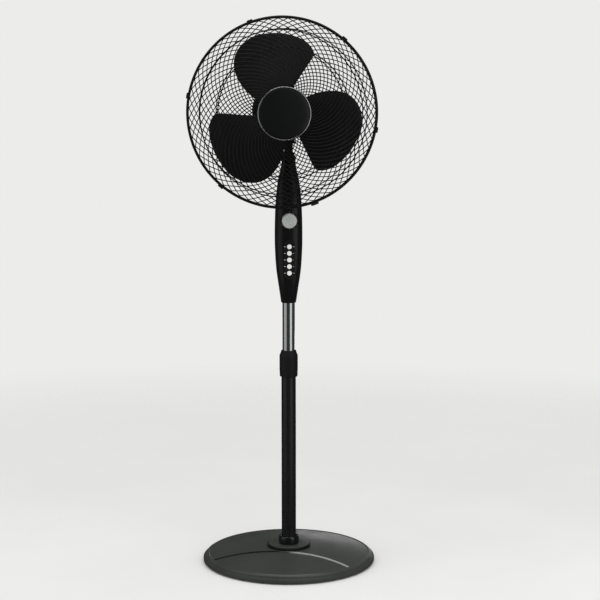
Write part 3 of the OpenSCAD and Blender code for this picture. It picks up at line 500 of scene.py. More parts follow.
class Draft:
    """Points (mm) and faces of one piece, gathered before they become an object."""

    def __init__(self) -> None:
        """Starts with nothing."""
        self.points: list[np.ndarray] = []
        self.faces: list[tuple[int, ...]] = []
        self.count = 0

    def add(self, points: np.ndarray, faces: Iterable[Sequence[int]]) -> None:
        """Adds points and the faces between them.

        Args:
            points: n rows of x, y, z in mm.
            faces: corner numbers within these points.
        """
        base = self.count
        self.points.append(np.asarray(points, float).reshape(-1, 3))
        self.faces += [tuple(base + i for i in face) for face in faces]
        self.count += len(self.points[-1])

    def grid(self, sheet: np.ndarray, wrap_rows: bool = False, wrap_columns: bool = False) -> None:
        """Adds a sheet of quads.

        Args:
            sheet: rows x columns x 3 points in mm.
            wrap_rows: joins the last row to the first.
            wrap_columns: joins the last column to the first.
        """
        rows, columns = sheet.shape[:2]
        down = rows if wrap_rows else rows - 1
        across = columns if wrap_columns else columns - 1
        faces = [
            (i * columns + j, i * columns + (j + 1) % columns,
             (i + 1) % rows * columns + (j + 1) % columns, (i + 1) % rows * columns + j)
            for i in range(down)
            for j in range(across)
        ]
        self.add(sheet.reshape(-1, 3), faces)

    def lid(self, ring: np.ndarray) -> None:
        """Adds one flat face over a ring of points."""
        self.add(ring, [range(len(ring))])

    def build(self, name: str, sharp: float = 32.0) -> bpy.types.Object:
        """Makes the object: welded, facing out, smooth but for its sharp edges.

        Args:
            name: the piece's name.
            sharp: edges that bend more than this many degrees stay sharp.

        Returns:
            The new object, in metres.
        """
        mesh = bpy.data.meshes.new(name)
        mesh.from_pydata((np.concatenate(self.points) * MM).tolist(), [], self.faces)
        return settle(mesh, name, sharp)


def settle(mesh: bpy.types.Mesh, name: str, sharp: float) -> bpy.types.Object:
    """Welds a mesh, turns it to face out, shades it and links it as an object.

    Args:
        mesh: the raw mesh in metres.
        name: the object's name.
        sharp: edges that bend more than this many degrees stay sharp.

    Returns:
        The object.
    """
    work = bmesh.new()
    work.from_mesh(mesh)
    bmesh.ops.remove_doubles(work, verts=work.verts, dist=2e-6)
    bmesh.ops.dissolve_degenerate(work, edges=work.edges, dist=1e-6)
    bmesh.ops.recalc_face_normals(work, faces=work.faces)
    work.to_mesh(mesh)
    work.free()
    mesh.shade_smooth()
    mesh.set_sharp_from_angle(angle=math.radians(sharp))
    thing = bpy.data.objects.new(name, mesh)
    bpy.context.scene.collection.objects.link(thing)
    return thing


def fillet(corners: Sequence[Corner], closed: bool = True, steps: int = 4) -> list[Flat]:
    """Rounds the corners of an outline.

    Args:
        corners: (across, along, radius) of each corner; radius 0 leaves it sharp.
        closed: whether the last corner joins the first.
        steps: segments in each rounding.

    Returns:
        The rounded outline.
    """
    line: list[Flat] = []
    for i, (x, y, radius) in enumerate(corners):
        if radius <= 0 or (not closed and i in (0, len(corners) - 1)):
            line.append((x, y))
            continue
        here = np.array((x, y))
        back = np.array(corners[i - 1][:2]) - here
        ahead = np.array(corners[(i + 1) % len(corners)][:2]) - here
        u, v = back / np.linalg.norm(back), ahead / np.linalg.norm(ahead)
        half = math.acos(float(np.clip(u @ v, -1.0, 1.0))) / 2
        if half > math.radians(88):
            line.append((x, y))
            continue
        reach = min(radius / math.tan(half), 0.48 * np.linalg.norm(back), 0.48 * np.linalg.norm(ahead))
        middle = here + (u + v) / np.linalg.norm(u + v) * reach / math.cos(half)
        first, last = here + u * reach - middle, here + v * reach - middle
        start = math.atan2(first[1], first[0])
        turn = (math.atan2(last[1], last[0]) - start + math.pi) % (2 * math.pi) - math.pi
        size = float(np.linalg.norm(first))
        line += [
            (float(middle[0] + size * math.cos(start + turn * k / steps)),
             float(middle[1] + size * math.sin(start + turn * k / steps)))
            for k in range(steps + 1)
        ]
    return line


def placed(points: np.ndarray, place: Matrix) -> np.ndarray:
    """Moves points by a matrix whose shift is in mm."""
    turn = np.array(place.to_3x3())
    return points @ turn.T + np.array(place.translation)


def turned(draft: Draft, outline: Sequence[Flat], place: Matrix, closed: bool = True,
           steps: int = 128, ripple: Ripple | None = None) -> None:
    """Adds an outline turned about the local Z axis.

    Args:
        draft: what to add to.
        outline: (radius, height) points in mm.
        place: where the axis stands.
        closed: whether the outline is a loop; an open one starts and ends on the axis.
        steps: segments round the axis.
        ripple: changes the radius by angle, for flutes and lobes.
    """
    angle = np.linspace(0.0, 2 * math.pi, steps, endpoint=False)
    rows = []
    for radius, height in outline:
        reach = np.full(steps, float(radius))
        if ripple is not None and radius > 0:
            reach = reach + ripple(angle, radius, height)
        rows.append(np.stack([reach * np.cos(angle), reach * np.sin(angle), np.full(steps, height)], 1))
    sheet = placed(np.array(rows).reshape(-1, 3), place).reshape(len(rows), steps, 3)
    draft.grid(sheet, wrap_rows=closed, wrap_columns=True)


def lathe(name: str, outline: Sequence[Flat], place: Matrix, closed: bool = True,
          steps: int = 128, ripple: Ripple | None = None) -> bpy.types.Object:
    """One turned piece; the arguments are those of turned(), with the piece's name first."""
    draft = Draft()
    turned(draft, outline, place, closed, steps, ripple)
    return draft.build(name)


def prism(draft: Draft, outline: Sequence[Flat], low: float, high: float, place: Matrix,
          edge: float = 0.0) -> None:
    """Adds an upright solid over an outline, its top edge rounded.

    Args:
        draft: what to add to.
        outline: (x, y) loop in mm.
        low: height of the bottom.
        high: height of the top.
        place: where it stands.
        edge: radius of the top edge.
    """
    loop = np.array(outline, float)
    ahead, back = np.roll(loop, -1, 0) - loop, loop - np.roll(loop, 1, 0)
    area = float(np.sum(loop[:, 0] * np.roll(loop[:, 1], -1) - loop[:, 1] * np.roll(loop[:, 0], -1)))
    along = ahead / np.linalg.norm(ahead, axis=1)[:, None] + back / np.linalg.norm(back, axis=1)[:, None]
    along /= np.linalg.norm(along, axis=1)[:, None]
    inward = np.stack([-along[:, 1], along[:, 0]], 1) * (1.0 if area > 0 else -1.0)
    levels = [(0.0, low)]
    if edge > 0:
        levels += [(edge * (1 - math.cos(a)), high - edge * (1 - math.sin(a)))
                   for a in np.linspace(0, math.pi / 2, 5)]
    else:
        levels.append((0.0, high))
    rows = [np.column_stack([loop + inward * inset, np.full(len(loop), height)]) for inset, height in levels]
    moved = [placed(row, place) for row in rows]
    draft.grid(np.array(moved), wrap_columns=True)
    draft.lid(moved[0])
    draft.lid(moved[-1])


def circle(radius: float, steps: int = 48, x: float = 0.0, y: float = 0.0) -> list[Flat]:
    """A round outline."""
    return [(x + radius * math.cos(a), y + radius * math.sin(a))
            for a in np.linspace(0, 2 * math.pi, steps, endpoint=False)]


def stadium(width: float, low: float, high: float, steps: int = 24) -> list[Flat]:
    """An upright outline with round ends.

    Args:
        width: its width, twice the radius of its ends.
        low: height of its lower end.
        high: height of its upper end.
        steps: segments in each end.

    Returns:
        The outline, counter-clockwise.
    """
    r = width / 2
    top = [(r * math.cos(a), high - r + r * math.sin(a)) for a in np.linspace(0, math.pi, steps + 1)]
    low_end = [(-r * math.cos(a), low + r - r * math.sin(a)) for a in np.linspace(0, math.pi, steps + 1)]
    return top + low_end


class Cut(Enum):
    """How a tool acts on a piece."""

    AWAY = "DIFFERENCE"
    KEEP = "INTERSECT"


def carve(piece: bpy.types.Object, tools: Sequence[bpy.types.Object], cut: Cut = Cut.AWAY,
          sharp: float = 32.0) -> bpy.types.Object:
    """Cuts a piece with tools, which are used up.

    Args:
        piece: the piece to cut.
        tools: closed objects.
        cut: whether the tools take material away or keep what they hold.
        sharp: edges that bend more than this many degrees stay sharp.

    Returns:
        A new object with the piece's name.
    """
    for tool in tools:
        step = piece.modifiers.new("cut", "BOOLEAN")
        step.operation = cut.value
        step.solver = "EXACT"
        step.object = tool
    graph = bpy.context.evaluated_depsgraph_get()
    mesh = bpy.data.meshes.new_from_object(piece.evaluated_get(graph))
    name = piece.name
    for used in (*tools, piece):
        bpy.data.objects.remove(used)
    return settle(mesh, name, sharp)


def soften(piece: bpy.types.Object, width: float, segments: int = 2, weld: bool = False,
           limit: float = 40.0) -> None:
    """Rounds a piece's sharp edges with modifiers.

    Args:
        piece: a mesh object; its own mesh isn't changed.
        width: width of the rounding in mm.
        segments: segments across it.
        weld: joins points that an import has split.
        limit: edges that bend less than this many degrees are left.
    """
    if weld:
        joined = piece.modifiers.new("weld", "WELD")
        joined.merge_threshold = 1e-6
    bevel = piece.modifiers.new("edge", "BEVEL")
    bevel.width = width * MM
    bevel.segments = segments
    bevel.limit_method = "ANGLE"
    bevel.angle_limit = math.radians(limit)
    bevel.use_clamp_overlap = True
    bevel.harden_normals = True


def upright(x: float = 0.0, y: float = 0.0, z: float = 0.0) -> Matrix:
    """A place whose local Z points up."""
    return Matrix.Translation((x, y, z))


def facing(x: float, y: float, z: float) -> Matrix:
    """A place whose local Z points out of the fan's front, with local Y up."""
    return Matrix.Translation((x, y, z)) @ Matrix.Rotation(math.radians(90), 4, "X")


def sideways(x: float, y: float, z: float) -> Matrix:
    """A place whose local Z points along +X."""
    return Matrix.Translation((x, y, z)) @ Matrix.Rotation(math.radians(90), 4, "Y")


def curve_line(table: Sequence[Flat]) -> Callable[[float], float]:
    """A smooth curve through a table of (place, value) pairs.

    Args:
        table: at least three pairs in rising order of place.

    Returns:
        A function of the place.
    """
    xs, ys = np.array(table, float).T
    chords = np.diff(ys) / np.diff(xs)
    slopes = np.concatenate([[chords[0]], (chords[1:] + chords[:-1]) / 2, [chords[-1]]])
    flat = np.concatenate([[False], chords[1:] * chords[:-1] <= 0, [False]])
    slopes[flat] = 0.0

    def value(x: float) -> float:
        """The curve's value at x."""
        k = int(np.clip(np.searchsorted(xs, x) - 1, 0, len(xs) - 2))
        span = xs[k + 1] - xs[k]
        t = float(np.clip((x - xs[k]) / span, 0.0, 1.0))
        return float(
            (2 * t**3 - 3 * t**2 + 1) * ys[k] + (t**3 - 2 * t**2 + t) * span * slopes[k]
            + (3 * t**2 - 2 * t**3) * ys[k + 1] + (t**3 - t**2) * span * slopes[k + 1]
        )

    return value


# ---------------------------------------------------------------- joining pieces to the frame


@dataclass(frozen=True)
class Extent:
    """The box of one frame node, in mm."""

    low: Vector
    high: Vector

    @classmethod
    def of(cls, node: str) -> "Extent":
        """Reads a node's box."""
        low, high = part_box(node)
        return cls(low / MM, high / MM)

    @property
    def middle(self) -> Vector:
        """The box's centre."""
        return (self.low + self.high) / 2

    @property
    def size(self) -> Vector:
        """The box's size."""
        return self.high - self.low


class Workshop:
    """Makes each finish once, and fixes pieces to the frame."""

    def __init__(self) -> None:
        """Starts with no materials made."""
        self.made: dict[str, bpy.types.Material] = {}

    def material(self, finish: Finish) -> bpy.types.Material:
        """The material of a finish, made on first use."""
        if finish.name not in self.made:
            self.made[finish.name] = finish.make()
        return self.made[finish.name]

    def fit(self, piece: bpy.types.Object, body: str, finish: Finish, *nodes: str) -> bpy.types.Object:
        """Dresses a new piece and lets it ride on a body.

        Args:
            piece: the new piece.
            body: the frame body it moves with.
            finish: its finish.
            nodes: frame nodes it stands for.

        Returns:
            The piece.
        """
        piece.data.materials.clear()
        piece.data.materials.append(self.material(finish))
        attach(piece, body)
        if nodes:
            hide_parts(*nodes)
        LOG.info("%s rides on %s, finish %s", piece.name, body, finish.name)
        return piece

    def keep(self, node: str, finish: Finish, edge: float = 0.0) -> None:
        """Dresses a frame node that stays as it is.

        Args:
            node: the node's name.
            finish: its finish.
            edge: width in mm of the rounding on its edges.
        """
        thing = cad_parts[node]
        if not thing.material_slots:
            raise ValueError(f"{node} has no material slot")
        for place in thing.material_slots:
            place.material = self.material(finish)
        if edge > 0:
            soften(thing, edge, 2, weld=True)
        LOG.info("%s kept, finish %s", node, finish.name)


# ---------------------------------------------------------------- sizes read from the frame


@dataclass(frozen=True)
class Layout:
    """Sizes and heights of the fan in mm, all read from the frame's nodes."""

    pan: Extent
    cover: Extent
    feet: Extent
    boss: Extent
    nut: Extent
    pole: Extent
    collar: Extent
    bush: Extent
    tube: Extent
    front: Extent
    rear: Extent
    panel: Extent
    bezel: Extent
    knob: Extent
    yoke: Extent
    bolt: Extent
    tilt_knob: Extent
    swing_knob: Extent
    shell: Extent
    plate: Extent
    rim_front: Extent
    rim_rear: Extent
    badge: Extent
    ring: Extent
    clips: Extent
    blade: Extent
    rotor: Extent

    @classmethod
    def read(cls) -> "Layout":
        """Reads every box from the frame."""
        names = {
            "pan": "base_pan", "cover": "base_cover", "feet": "base_feet", "boss": "pole_boss",
            "nut": "foot_nut", "pole": "lower_pole", "collar": "height_collar", "bush": "collar_bush",
            "tube": "inner_pole", "front": "housing_front", "rear": "housing_rear",
            "panel": "button_panel", "bezel": "knob_bezel", "knob": "timer_knob", "yoke": "tilt_yoke",
            "bolt": "tilt_bolt", "tilt_knob": "tilt_knob", "swing_knob": "swing_knob",
            "shell": "motor_cover", "plate": "rear_guard_plate", "rim_front": "front_guard_hoops",
            "rim_rear": "rear_guard_hoops", "badge": "guard_badge", "ring": "badge_ring",
            "clips": "rim_clips", "blade": "fan_blade", "rotor": "motor_rotor",
        }
        return cls(**{key: Extent.of(node) for key, node in names.items()})

    @property
    def axis(self) -> Matrix:
        """The head's place: local Z forward along the shaft, local Y up, from the pole's plane."""
        return facing(self.shell.middle.x, 0.0, self.shell.middle.z)

    @property
    def motor_r(self) -> float:
        """Radius of the motor's cover."""
        return self.shell.size.x / 2

    @property
    def rim_r(self) -> float:
        """Radius of the rim hoops' centre line."""
        return self.rim_front.size.x / 2 - HOOP_R

    @property
    def rim_plane(self) -> float:
        """Distance from the pole to the plane between the two rim hoops."""
        return -self.clips.middle.y

    @property
    def badge_r(self) -> float:
        """Radius of the badge."""
        return self.ring.size.x / 2 - 2.0

    @property
    def blade_r(self) -> float:
        """Radius of the blade's sweep, from its farthest point off the axis."""
        axis = self.axis.translation
        spots = np.array([v.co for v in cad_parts["fan_blade"].data.vertices]) / MM
        return float(np.hypot(spots[:, 0] - axis.x, spots[:, 2] - axis.z).max())


HOOP_R = 3.0
RING_WIRE_R = 1.2
SPOKE_R = 1.05


# ---------------------------------------------------------------- base


@dataclass
class Base:
    """The round base: pan, feet, pressed cover, disc and nut under the pole."""

    shop: Workshop
    at: Layout
    weight_finish: Finish = IRON
    crescent_centre: Flat = (-80.0, -320.0)
    crescent_r: float = 280.0
    crescent_depth: float = 1.9
    bead_h: float = 1.5
    bead_start: float = 8.0
    bead_w: float = 5.0

    def build(self) -> None:
        """Makes every piece of the base."""
        self.cover()
        self.pan()
        self.feet()
        self.disc()
        self.nut()
        for node, finish in (("base_weight", self.weight_finish), ("base_bolt", ZINC),
                             ("base_washer", ZINC), ("pole_plug", GRIP_MATTE)):
            self.shop.keep(node, finish, 0.4)

    @property
    def side_r(self) -> float:
        """Radius of the cover's side."""
        return self.at.pan.size.x / 2 - 6.0

    def skin(self, radius: float) -> float:
        """Height of the cover's outer skin at a radius."""
        inner = self.at.boss.size.x / 2
        share = max(0.0, radius - inner) / (self.side_r - 3.0 - inner)
        return self.at.cover.high.z - 14.5 * share**1.7

    def bead(self, radius: float) -> float:
        """Height of the rolled bead near the cover's edge, over the skin."""
        share = min(1.0, max(0.0, (radius - self.side_r + self.bead_start) / self.bead_w))
        return self.bead_h * math.sin(share * math.pi) ** 2

    def cover(self) -> None:
        """The pressed cover with its crescent."""
        top, low, side, lip = self.at.cover.high.z, self.at.cover.low.z, self.side_r, self.at.cover.size.x / 2
        pan_top = self.at.pan.high.z - 0.5
        wall = 2.5
        reach = np.concatenate([np.linspace(self.at.boss.size.x / 2, side - 12.0, 34),
                                np.linspace(side - 11.0, side - 3.0, 14)])
        edge_z = self.skin(side - 3.0)
        shoulder = [(side - 3.0 + 3.0 * math.sin(a), edge_z - 3.0 * (1 - math.cos(a)))
                    for a in np.linspace(0.15, math.pi / 2, 8)]
        rim = fillet([(side, edge_z - 3.0, 0), (side, pan_top + 1.6, 0.5), (lip, pan_top + 0.8, 0.7),
                      (lip, low, 0.2), (lip - wall, low, 0.2), (lip - wall, pan_top - 2.0, 0.4),
                      (side - wall, pan_top - 1.2, 0.4), (side - wall, edge_z - 4.0, 0)], closed=False)
        outline = [(30.0, top), *((float(r), self.skin(float(r)) + self.bead(float(r))) for r in reach)]
        outline += [*shoulder, *rim[1:]]
        outline += [(float(r), self.skin(float(r)) - wall) for r in reach[::-1]] + [(30.0, top - wall)]
        piece = lathe("cover_skin", outline, upright(), steps=240)
        tool = Draft()
        inner, outer = self.at.boss.size.x / 2 + 4.0, side - 8.0
        band = np.linspace(inner, outer, 28)
        layer = [(float(r), self.skin(float(r)) - self.crescent_depth) for r in band]
        layer += [(float(r), self.skin(float(r)) + 8.0) for r in band[::-1]]
        turned(tool, layer, upright(), steps=240)
        layer_piece = tool.build("crescent_layer")
        disc = Draft()
        prism(disc, circle(self.crescent_r, 360, *self.crescent_centre), 0.0, top + 20.0, upright())
        carve(layer_piece, [disc.build("crescent_disc")], Cut.KEEP)
        piece = carve(piece, [bpy.data.objects["crescent_layer"]])
        # the cover's finish paints a highlight along the right half of the crescent's edge and a shade along the left
        # half
        self.shop.fit(piece, "base", COVER_LACQUER_PAINTED_LIGHT, "base_cover")

    def pan(self) -> None:
        """The pan's floor, wall and central well."""
        r, low, top = self.at.pan.size.x / 2, self.at.pan.low.z, self.at.pan.high.z - 0.5
        well, wall = 34.0, 2.5
        outline = fillet([
            (5.1, top - 1.5, 0), (well, top - 1.5, 0.6), (well, low, 0.6), (r - 1.0, low, 1.6), (r, low + 1.4, 1.6),
            (r, top, 1.0), (r - wall, top, 0.7), (r - wall, low + 2.0, 0.8), (well + wall, low + 2.0, 0.8),
            (well + wall, top + 0.5, 0.8), (5.1, top + 0.5, 0),
        ])
        self.shop.fit(lathe("pan_dish", outline, upright(), steps=240), "base", PAN_ENAMEL, "base_pan")

    def feet(self) -> None:
        """Six rubber feet and the cap in the well."""
        draft = Draft()
        h = self.at.pan.low.z
        pad = fillet([(0, 0, 0), (11.0, 0, 0.8), (11.0, h, 0.5), (3.6, h, 0), (3.6, h + 2.0, 0), (0, h + 2.0, 0)],
                     closed=False)
        ring = self.at.pan.size.x / 2 - 24.0
        for i in range(6):
            angle = math.radians(30 + 60 * i)
            turned(draft, pad, upright(ring * math.cos(angle), ring * math.sin(angle)), closed=False, steps=40)
        cap = fillet([(0, 0, 0), (33.4, 0, 1.0), (33.9, 7.0, 0.6), (31.0, 7.0, 0.6), (31.0, h, 0.6), (0, h, 0)],
                     closed=False)
        turned(draft, cap, upright(), closed=False, steps=96)
        self.shop.fit(draft.build("foot_pads"), "base", FOOT_RUBBER, "base_feet")

    def disc(self) -> None:
        """The raised disc under the pole, with its lacquered top."""
        r, low, top = self.at.boss.size.x / 2, self.at.boss.low.z, self.at.boss.high.z
        side = fillet([(5.2, low, 0), (r, low, 0.4), (r, top - 1.6, 1.2), (r - 1.4, top - 0.5, 0.8),
                       (5.2, top - 0.5, 0)])
        self.shop.fit(lathe("boss_disc", side, upright(), steps=160), "base", GRIP_MATTE, "pole_boss")
        face = fillet([(18.6, top - 0.45, 0), (r - 2.2, top - 0.45, 0.15), (r - 2.4, top, 0.2), (18.6, top, 0.1)])
        self.shop.fit(lathe("boss_face", face, upright(), steps=160), "base", COVER_LACQUER_PAINTED_LIGHT)

    def nut(self) -> None:
        """The swelling nut round the pole's foot."""
        r, low, top = self.at.nut.size.x / 2, self.at.nut.low.z, self.at.nut.high.z
        bore = self.at.pole.size.x / 2 + 0.1
        swell = [(r - 2.4 + 2.4 * math.sin(a), low + (top - low) * (1 - math.cos(a)) / 2)
                 for a in np.linspace(0.12, math.pi - 0.35, 20)]
        outline = [(bore, low), *swell, *fillet([
            (swell[-1][0], swell[-1][1], 0), (r - 2.2, top, 1.4), (bore + 1.2, top, 0.8), (bore, top - 1.0, 0.4),
            (bore, low, 0)], closed=False)[1:-1]]
        self.shop.fit(lathe("foot_collar_nut", outline, upright(), steps=160), "base", NUT_LACQUER, "foot_nut")


# ---------------------------------------------------------------- pole


@dataclass
class Pole:
    """The painted pole, the height collar and the sliding tube."""

    shop: Workshop
    at: Layout
    wall: float = 1.5

    def build(self) -> None:
        """Makes the pole's pieces."""
        r, low, top = self.at.pole.size.x / 2, self.at.pole.low.z, self.at.pole.high.z
        sleeve = fillet([(r, low, 0), (r, top, 0.5), (r - self.wall, top, 0.4), (r - self.wall, low, 0)])
        self.shop.fit(lathe("pole_sleeve", sleeve, upright(), steps=128), "base", POLE_LACQUER, "lower_pole")
        self.grip()
        self.tube()
        self.shop.keep("collar_bush", GRIP_MATTE, 0.3)
        self.shop.keep("pole_stop", IVORY, 0.3)
        self.shop.keep("pole_socket", GRIP_MATTE, 0.4)

    def grip(self) -> None:
        """The height collar, with a band pressed round its lower end."""
        r, low, top = self.at.collar.size.x / 2, self.at.collar.low.z, self.at.collar.high.z
        tube, bush = self.at.tube.size.x / 2 + 0.3, self.at.bush.size.x / 2
        outline = fillet([
            (self.at.pole.size.x / 2 + 0.3, low, 0.3), (r - 1.1, low, 1.0), (r - 0.5, low + 2.0, 1.4),
            (r - 0.35, low + 12.6, 0.4), (r, low + 14.0, 1.0), (r, top - 12.0, 5.0), (r - 2.4, top - 6.0, 4.0),
            (r - 4.2, top - 0.3, 1.0), (r - 5.2, top, 0.6), (tube + 0.5, top, 0.5), (tube, top - 0.8, 0.3),
            (tube, self.at.bush.high.z + 0.3, 0), (bush + 0.05, self.at.bush.high.z + 0.3, 0),
            (bush + 0.05, low + 7.6, 0),
            (self.at.pole.size.x / 2 + 0.3, low + 7.6, 0),
        ])
        self.shop.fit(lathe("height_grip", outline, upright(), steps=160), "collar", GRIP_MATTE, "height_collar")

    def tube(self) -> None:
        """The bright sliding tube."""
        r, low, top = self.at.tube.size.x / 2, self.at.tube.low.z, self.at.tube.high.z
        outline = fillet([(r, low, 0.3), (r, top, 0.3), (r - 1.2, top, 0.3), (r - 1.2, low, 0.3)])
        self.shop.fit(lathe("sliding_tube", outline, upright(), steps=160), "mast", CHROME, "inner_pole")


# ---------------------------------------------------------------- control housing


@dataclass(frozen=True)
class Section:
    """The housing's outer form: a soft-cornered oval that swells and narrows with height."""

    foot: float
    length: float
    width: float
    depth: float
    design_length: float = 292.0
    widths: tuple[Flat, ...] = (
        (0, 0.27), (30, 0.338), (75, 0.44), (110, 0.481), (150, 0.5), (200, 0.488), (242, 0.456), (274, 0.4),
        (292, 0.35), (306, 0.295), (325, 0.246), (339, 0.22), (350, 0.2))
    fronts: tuple[Flat, ...] = (
        (0, 0.287), (30, 0.4), (58, 0.475), (100, 0.5), (205, 0.5), (242, 0.47), (274, 0.41), (292, 0.367),
        (306, 0.34), (325, 0.31), (350, 0.27))
    rears: tuple[Flat, ...] = (
        (0, 0.287), (30, 0.36), (75, 0.45), (120, 0.49), (160, 0.5), (205, 0.49), (242, 0.46), (274, 0.41),
        (292, 0.367), (306, 0.34), (325, 0.31), (350, 0.27))

    def ring(self, height: float, angles: np.ndarray, inset: float = 0.0) -> np.ndarray:
        """One section of the form.

        Args:
            height: height over the housing's foot.
            angles: angles round the section in radians.
            inset: distance inside the outer form.

        Returns:
            Rows of x, y, z in mm.
        """
        place = height * self.design_length / self.length
        half = curve_line(self.widths)(place) * self.width - inset
        front = curve_line(self.fronts)(place) * self.depth - inset
        rear = curve_line(self.rears)(place) * self.depth - inset
        across, along = np.cos(angles), np.sin(angles)
        x = half * np.sign(across) * np.abs(across) ** 0.8
        y = np.where(along < 0, front, rear) * np.sign(along) * np.abs(along) ** 0.8
        return np.stack([x, y, np.full(len(angles), self.foot + height)], 1)

    def surface(self, height: float, x: float, side: float) -> float:
        """Depth of the rear (side 1) or front (side -1) skin at a height and sideways place."""
        place = height * self.design_length / self.length
        half = curve_line(self.widths)(place) * self.width
        deep = curve_line(self.fronts if side < 0 else self.rears)(place) * self.depth
        return float(deep * (1 - (abs(x) / half) ** 2.5) ** 0.4)


class Level(Enum):
    """The control keys from the lowest up, each with its place on the strip."""

    OFF = -2
    LOW = -1
    MEDIUM = 0
    HIGH = 1
    LIGHT = 2

    @property
    def body(self) -> str:
        """The frame body of this key."""
        return f"key_{self.name.lower()}"

    @property
    def node(self) -> str:
        """The frame node of this key."""
        return f"button_{self.name.lower()}"


@dataclass
class ControlHousing:
    """The moulded control housing with its keys and timer dial."""

    shop: Workshop
    at: Layout
    wall: float = 2.4
    rows: int = 84

    def build(self) -> None:
        """Makes every piece of the housing."""
        self.shells()
        self.strip()
        self.dial()
        for level in Level:
            self.key(level)
        for node, finish in (("housing_screws", ZINC), ("timer_unit", IVORY), ("switch_block", IVORY),
                             ("capacitor", CAN_BLUE), ("cord_gland", GRIP_MATTE)):
            self.shop.keep(node, finish, 0.5)

    @property
    def form(self) -> Section:
        """The housing's outer form, sized from the frame."""
        return Section(self.at.front.low.z, self.at.front.size.z, self.at.front.size.x,
                       -2 * self.at.front.low.y)

    def half(self, name: str, start: float) -> bpy.types.Object:
        """One half shell, closed all round.

        Args:
            name: the piece's name.
            start: angle of its first seam, in radians.

        Returns:
            The half shell.
        """
        form, columns = self.form, 56
        seam = math.radians(0.06)
        angles = start + np.linspace(seam, math.pi - seam, columns)
        soft = 1.4
        low = [(soft * (1 - math.sin(a)), soft * (1 - math.cos(a))) for a in np.linspace(0, math.pi / 2, 6)][::-1]
        levels = [(inset, height) for inset, height in low[::-1]]
        levels = sorted({(round(inset, 4), round(height, 4)) for inset, height in levels}, key=lambda p: p[1])
        levels += [(0.0, h) for h in np.linspace(soft, form.length - 0.7, self.rows)[1:]]
        levels += [(0.35, form.length - 0.2), (0.6, form.length)]
        draft = Draft()
        sheet = []
        for inset, height in levels:
            outer = form.ring(height, angles, inset)
            inner = form.ring(height, angles[::-1], max(self.wall, inset + 1.0))
            sheet.append(np.concatenate([outer, inner]))
        draft.grid(np.array(sheet), wrap_columns=True)
        for row in (sheet[0], sheet[-1]):
            quads = [(k, k + 1, 2 * columns - 2 - k, 2 * columns - 1 - k) for k in range(columns - 1)]
            draft.add(row, quads)
        return draft.build(name)

    def shells(self) -> None:
        """Front and rear shells, with their openings and screw seats."""
        form, foot = self.form, self.at.front.low.z
        front = self.half("front_shell", math.pi)
        slot, dial = Draft(), Draft()
        panel = self.at.panel
        prism(slot, stadium(panel.size.x + 0.3, panel.low.z - 0.15, panel.high.z + 0.15), 10.0, 60.0, facing(0, 0, 0))
        bezel = self.at.bezel
        prism(dial, circle(bezel.size.x / 2 + 0.15, 96), 10.0, 60.0, facing(0, 0, bezel.middle.z))
        front = carve(front, [slot.build("slot_tool"), dial.build("dial_tool")], sharp=28.0)
        soften(front, 0.5, 3, limit=42.0)
        self.shop.fit(front, "mast", HOUSING_GLOSS, "housing_front")
        rear = self.half("rear_shell", 0.0)
        tools = Draft()
        reach = form.width / 3
        for x, height in ((reach, 112.0), (-reach, 112.0), (0.0, 226.0), (0.0, 42.0)):
            seat = form.surface(height, x, 1) - 1.6
            place = Matrix.Translation((x, 0, foot + height)) @ Matrix.Rotation(math.radians(-90), 4, "X")
            prism(tools, circle(3.6, 40), seat, seat + 20.0, place)
            prism(tools, circle(1.9, 24), 8.0, seat - 0.01, place)
        gland = Extent.of("cord_gland")
        place = Matrix.Translation((0, 0, gland.middle.z)) @ Matrix.Rotation(math.radians(-90), 4, "X")
        prism(tools, circle(6.7, 48), 12.0, 60.0, place)
        rear = carve(rear, [tools.build("seat_tools")], sharp=28.0)
        soften(rear, 0.4, 3, limit=42.0)
        self.shop.fit(rear, "mast", HOUSING_GLOSS, "housing_rear")

    def strip(self) -> None:
        """The key strip with its five openings and the marks beside them."""
        panel = self.at.panel
        back, front = -panel.high.y, -panel.low.y
        body, holes = Draft(), Draft()
        prism(body, stadium(panel.size.x, panel.low.z, panel.high.z, 32), back, front, facing(0, 0, 0))
        for level in Level:
            z = Extent.of(level.node).middle.z
            prism(holes, circle(5.45, 64, 0, z), back - 2.0, front + 2.0, facing(0, 0, 0))
        piece = carve(body.build("key_strip"), [holes.build("key_holes")])
        soften(piece, 0.5, 3)
        self.shop.fit(piece, "mast", PANEL_SATIN, "button_panel")
        marks = Draft()
        for level in Level:
            z = Extent.of(level.node).middle.z
            bar = fillet([(-11.6, z - 0.45, 0.4), (-8.4, z - 0.45, 0.4), (-8.4, z + 0.45, 0.4), (-11.6, z + 0.45, 0.4)])
            prism(marks, bar, front - 0.1, front + 0.12, facing(0, 0, 0))
            for k in range(abs(level.value) % 3 + 1):
                prism(marks, circle(0.5, 16, 8.6 + 1.3 * k, z), front - 0.1, front + 0.12, facing(0, 0, 0))
        self.shop.fit(marks.build("key_marks"), "mast", MARK_PAINT)

    def key(self, level: Level) -> None:
        """One domed push key with its flange and stem."""
        box = Extent.of(level.node)
        face = -self.at.panel.low.y
        r = 5.2
        cap = [(math.sin(a) * (r - 0.9), 3.0 + 0.6 * math.cos(a)) for a in np.linspace(0, math.pi / 2, 9)]
        outline = [*cap[:-1], *fillet([
            (cap[-2][0], cap[-2][1], 0), (r, 3.0, 0.9), (r, -3.4, 0), (r + 0.9, -3.4, 0), (r + 0.9, -4.6, 0),
            (2.4, -4.6, 0), (2.4, -14.4, 0), (0, -14.4, 0)], closed=False, steps=6)[1:]]
        piece = lathe(f"cap_{level.name.lower()}", outline, facing(0, -face, box.middle.z), closed=False, steps=72)
        self.shop.fit(piece, level.body, KEY_WHITE, level.node)

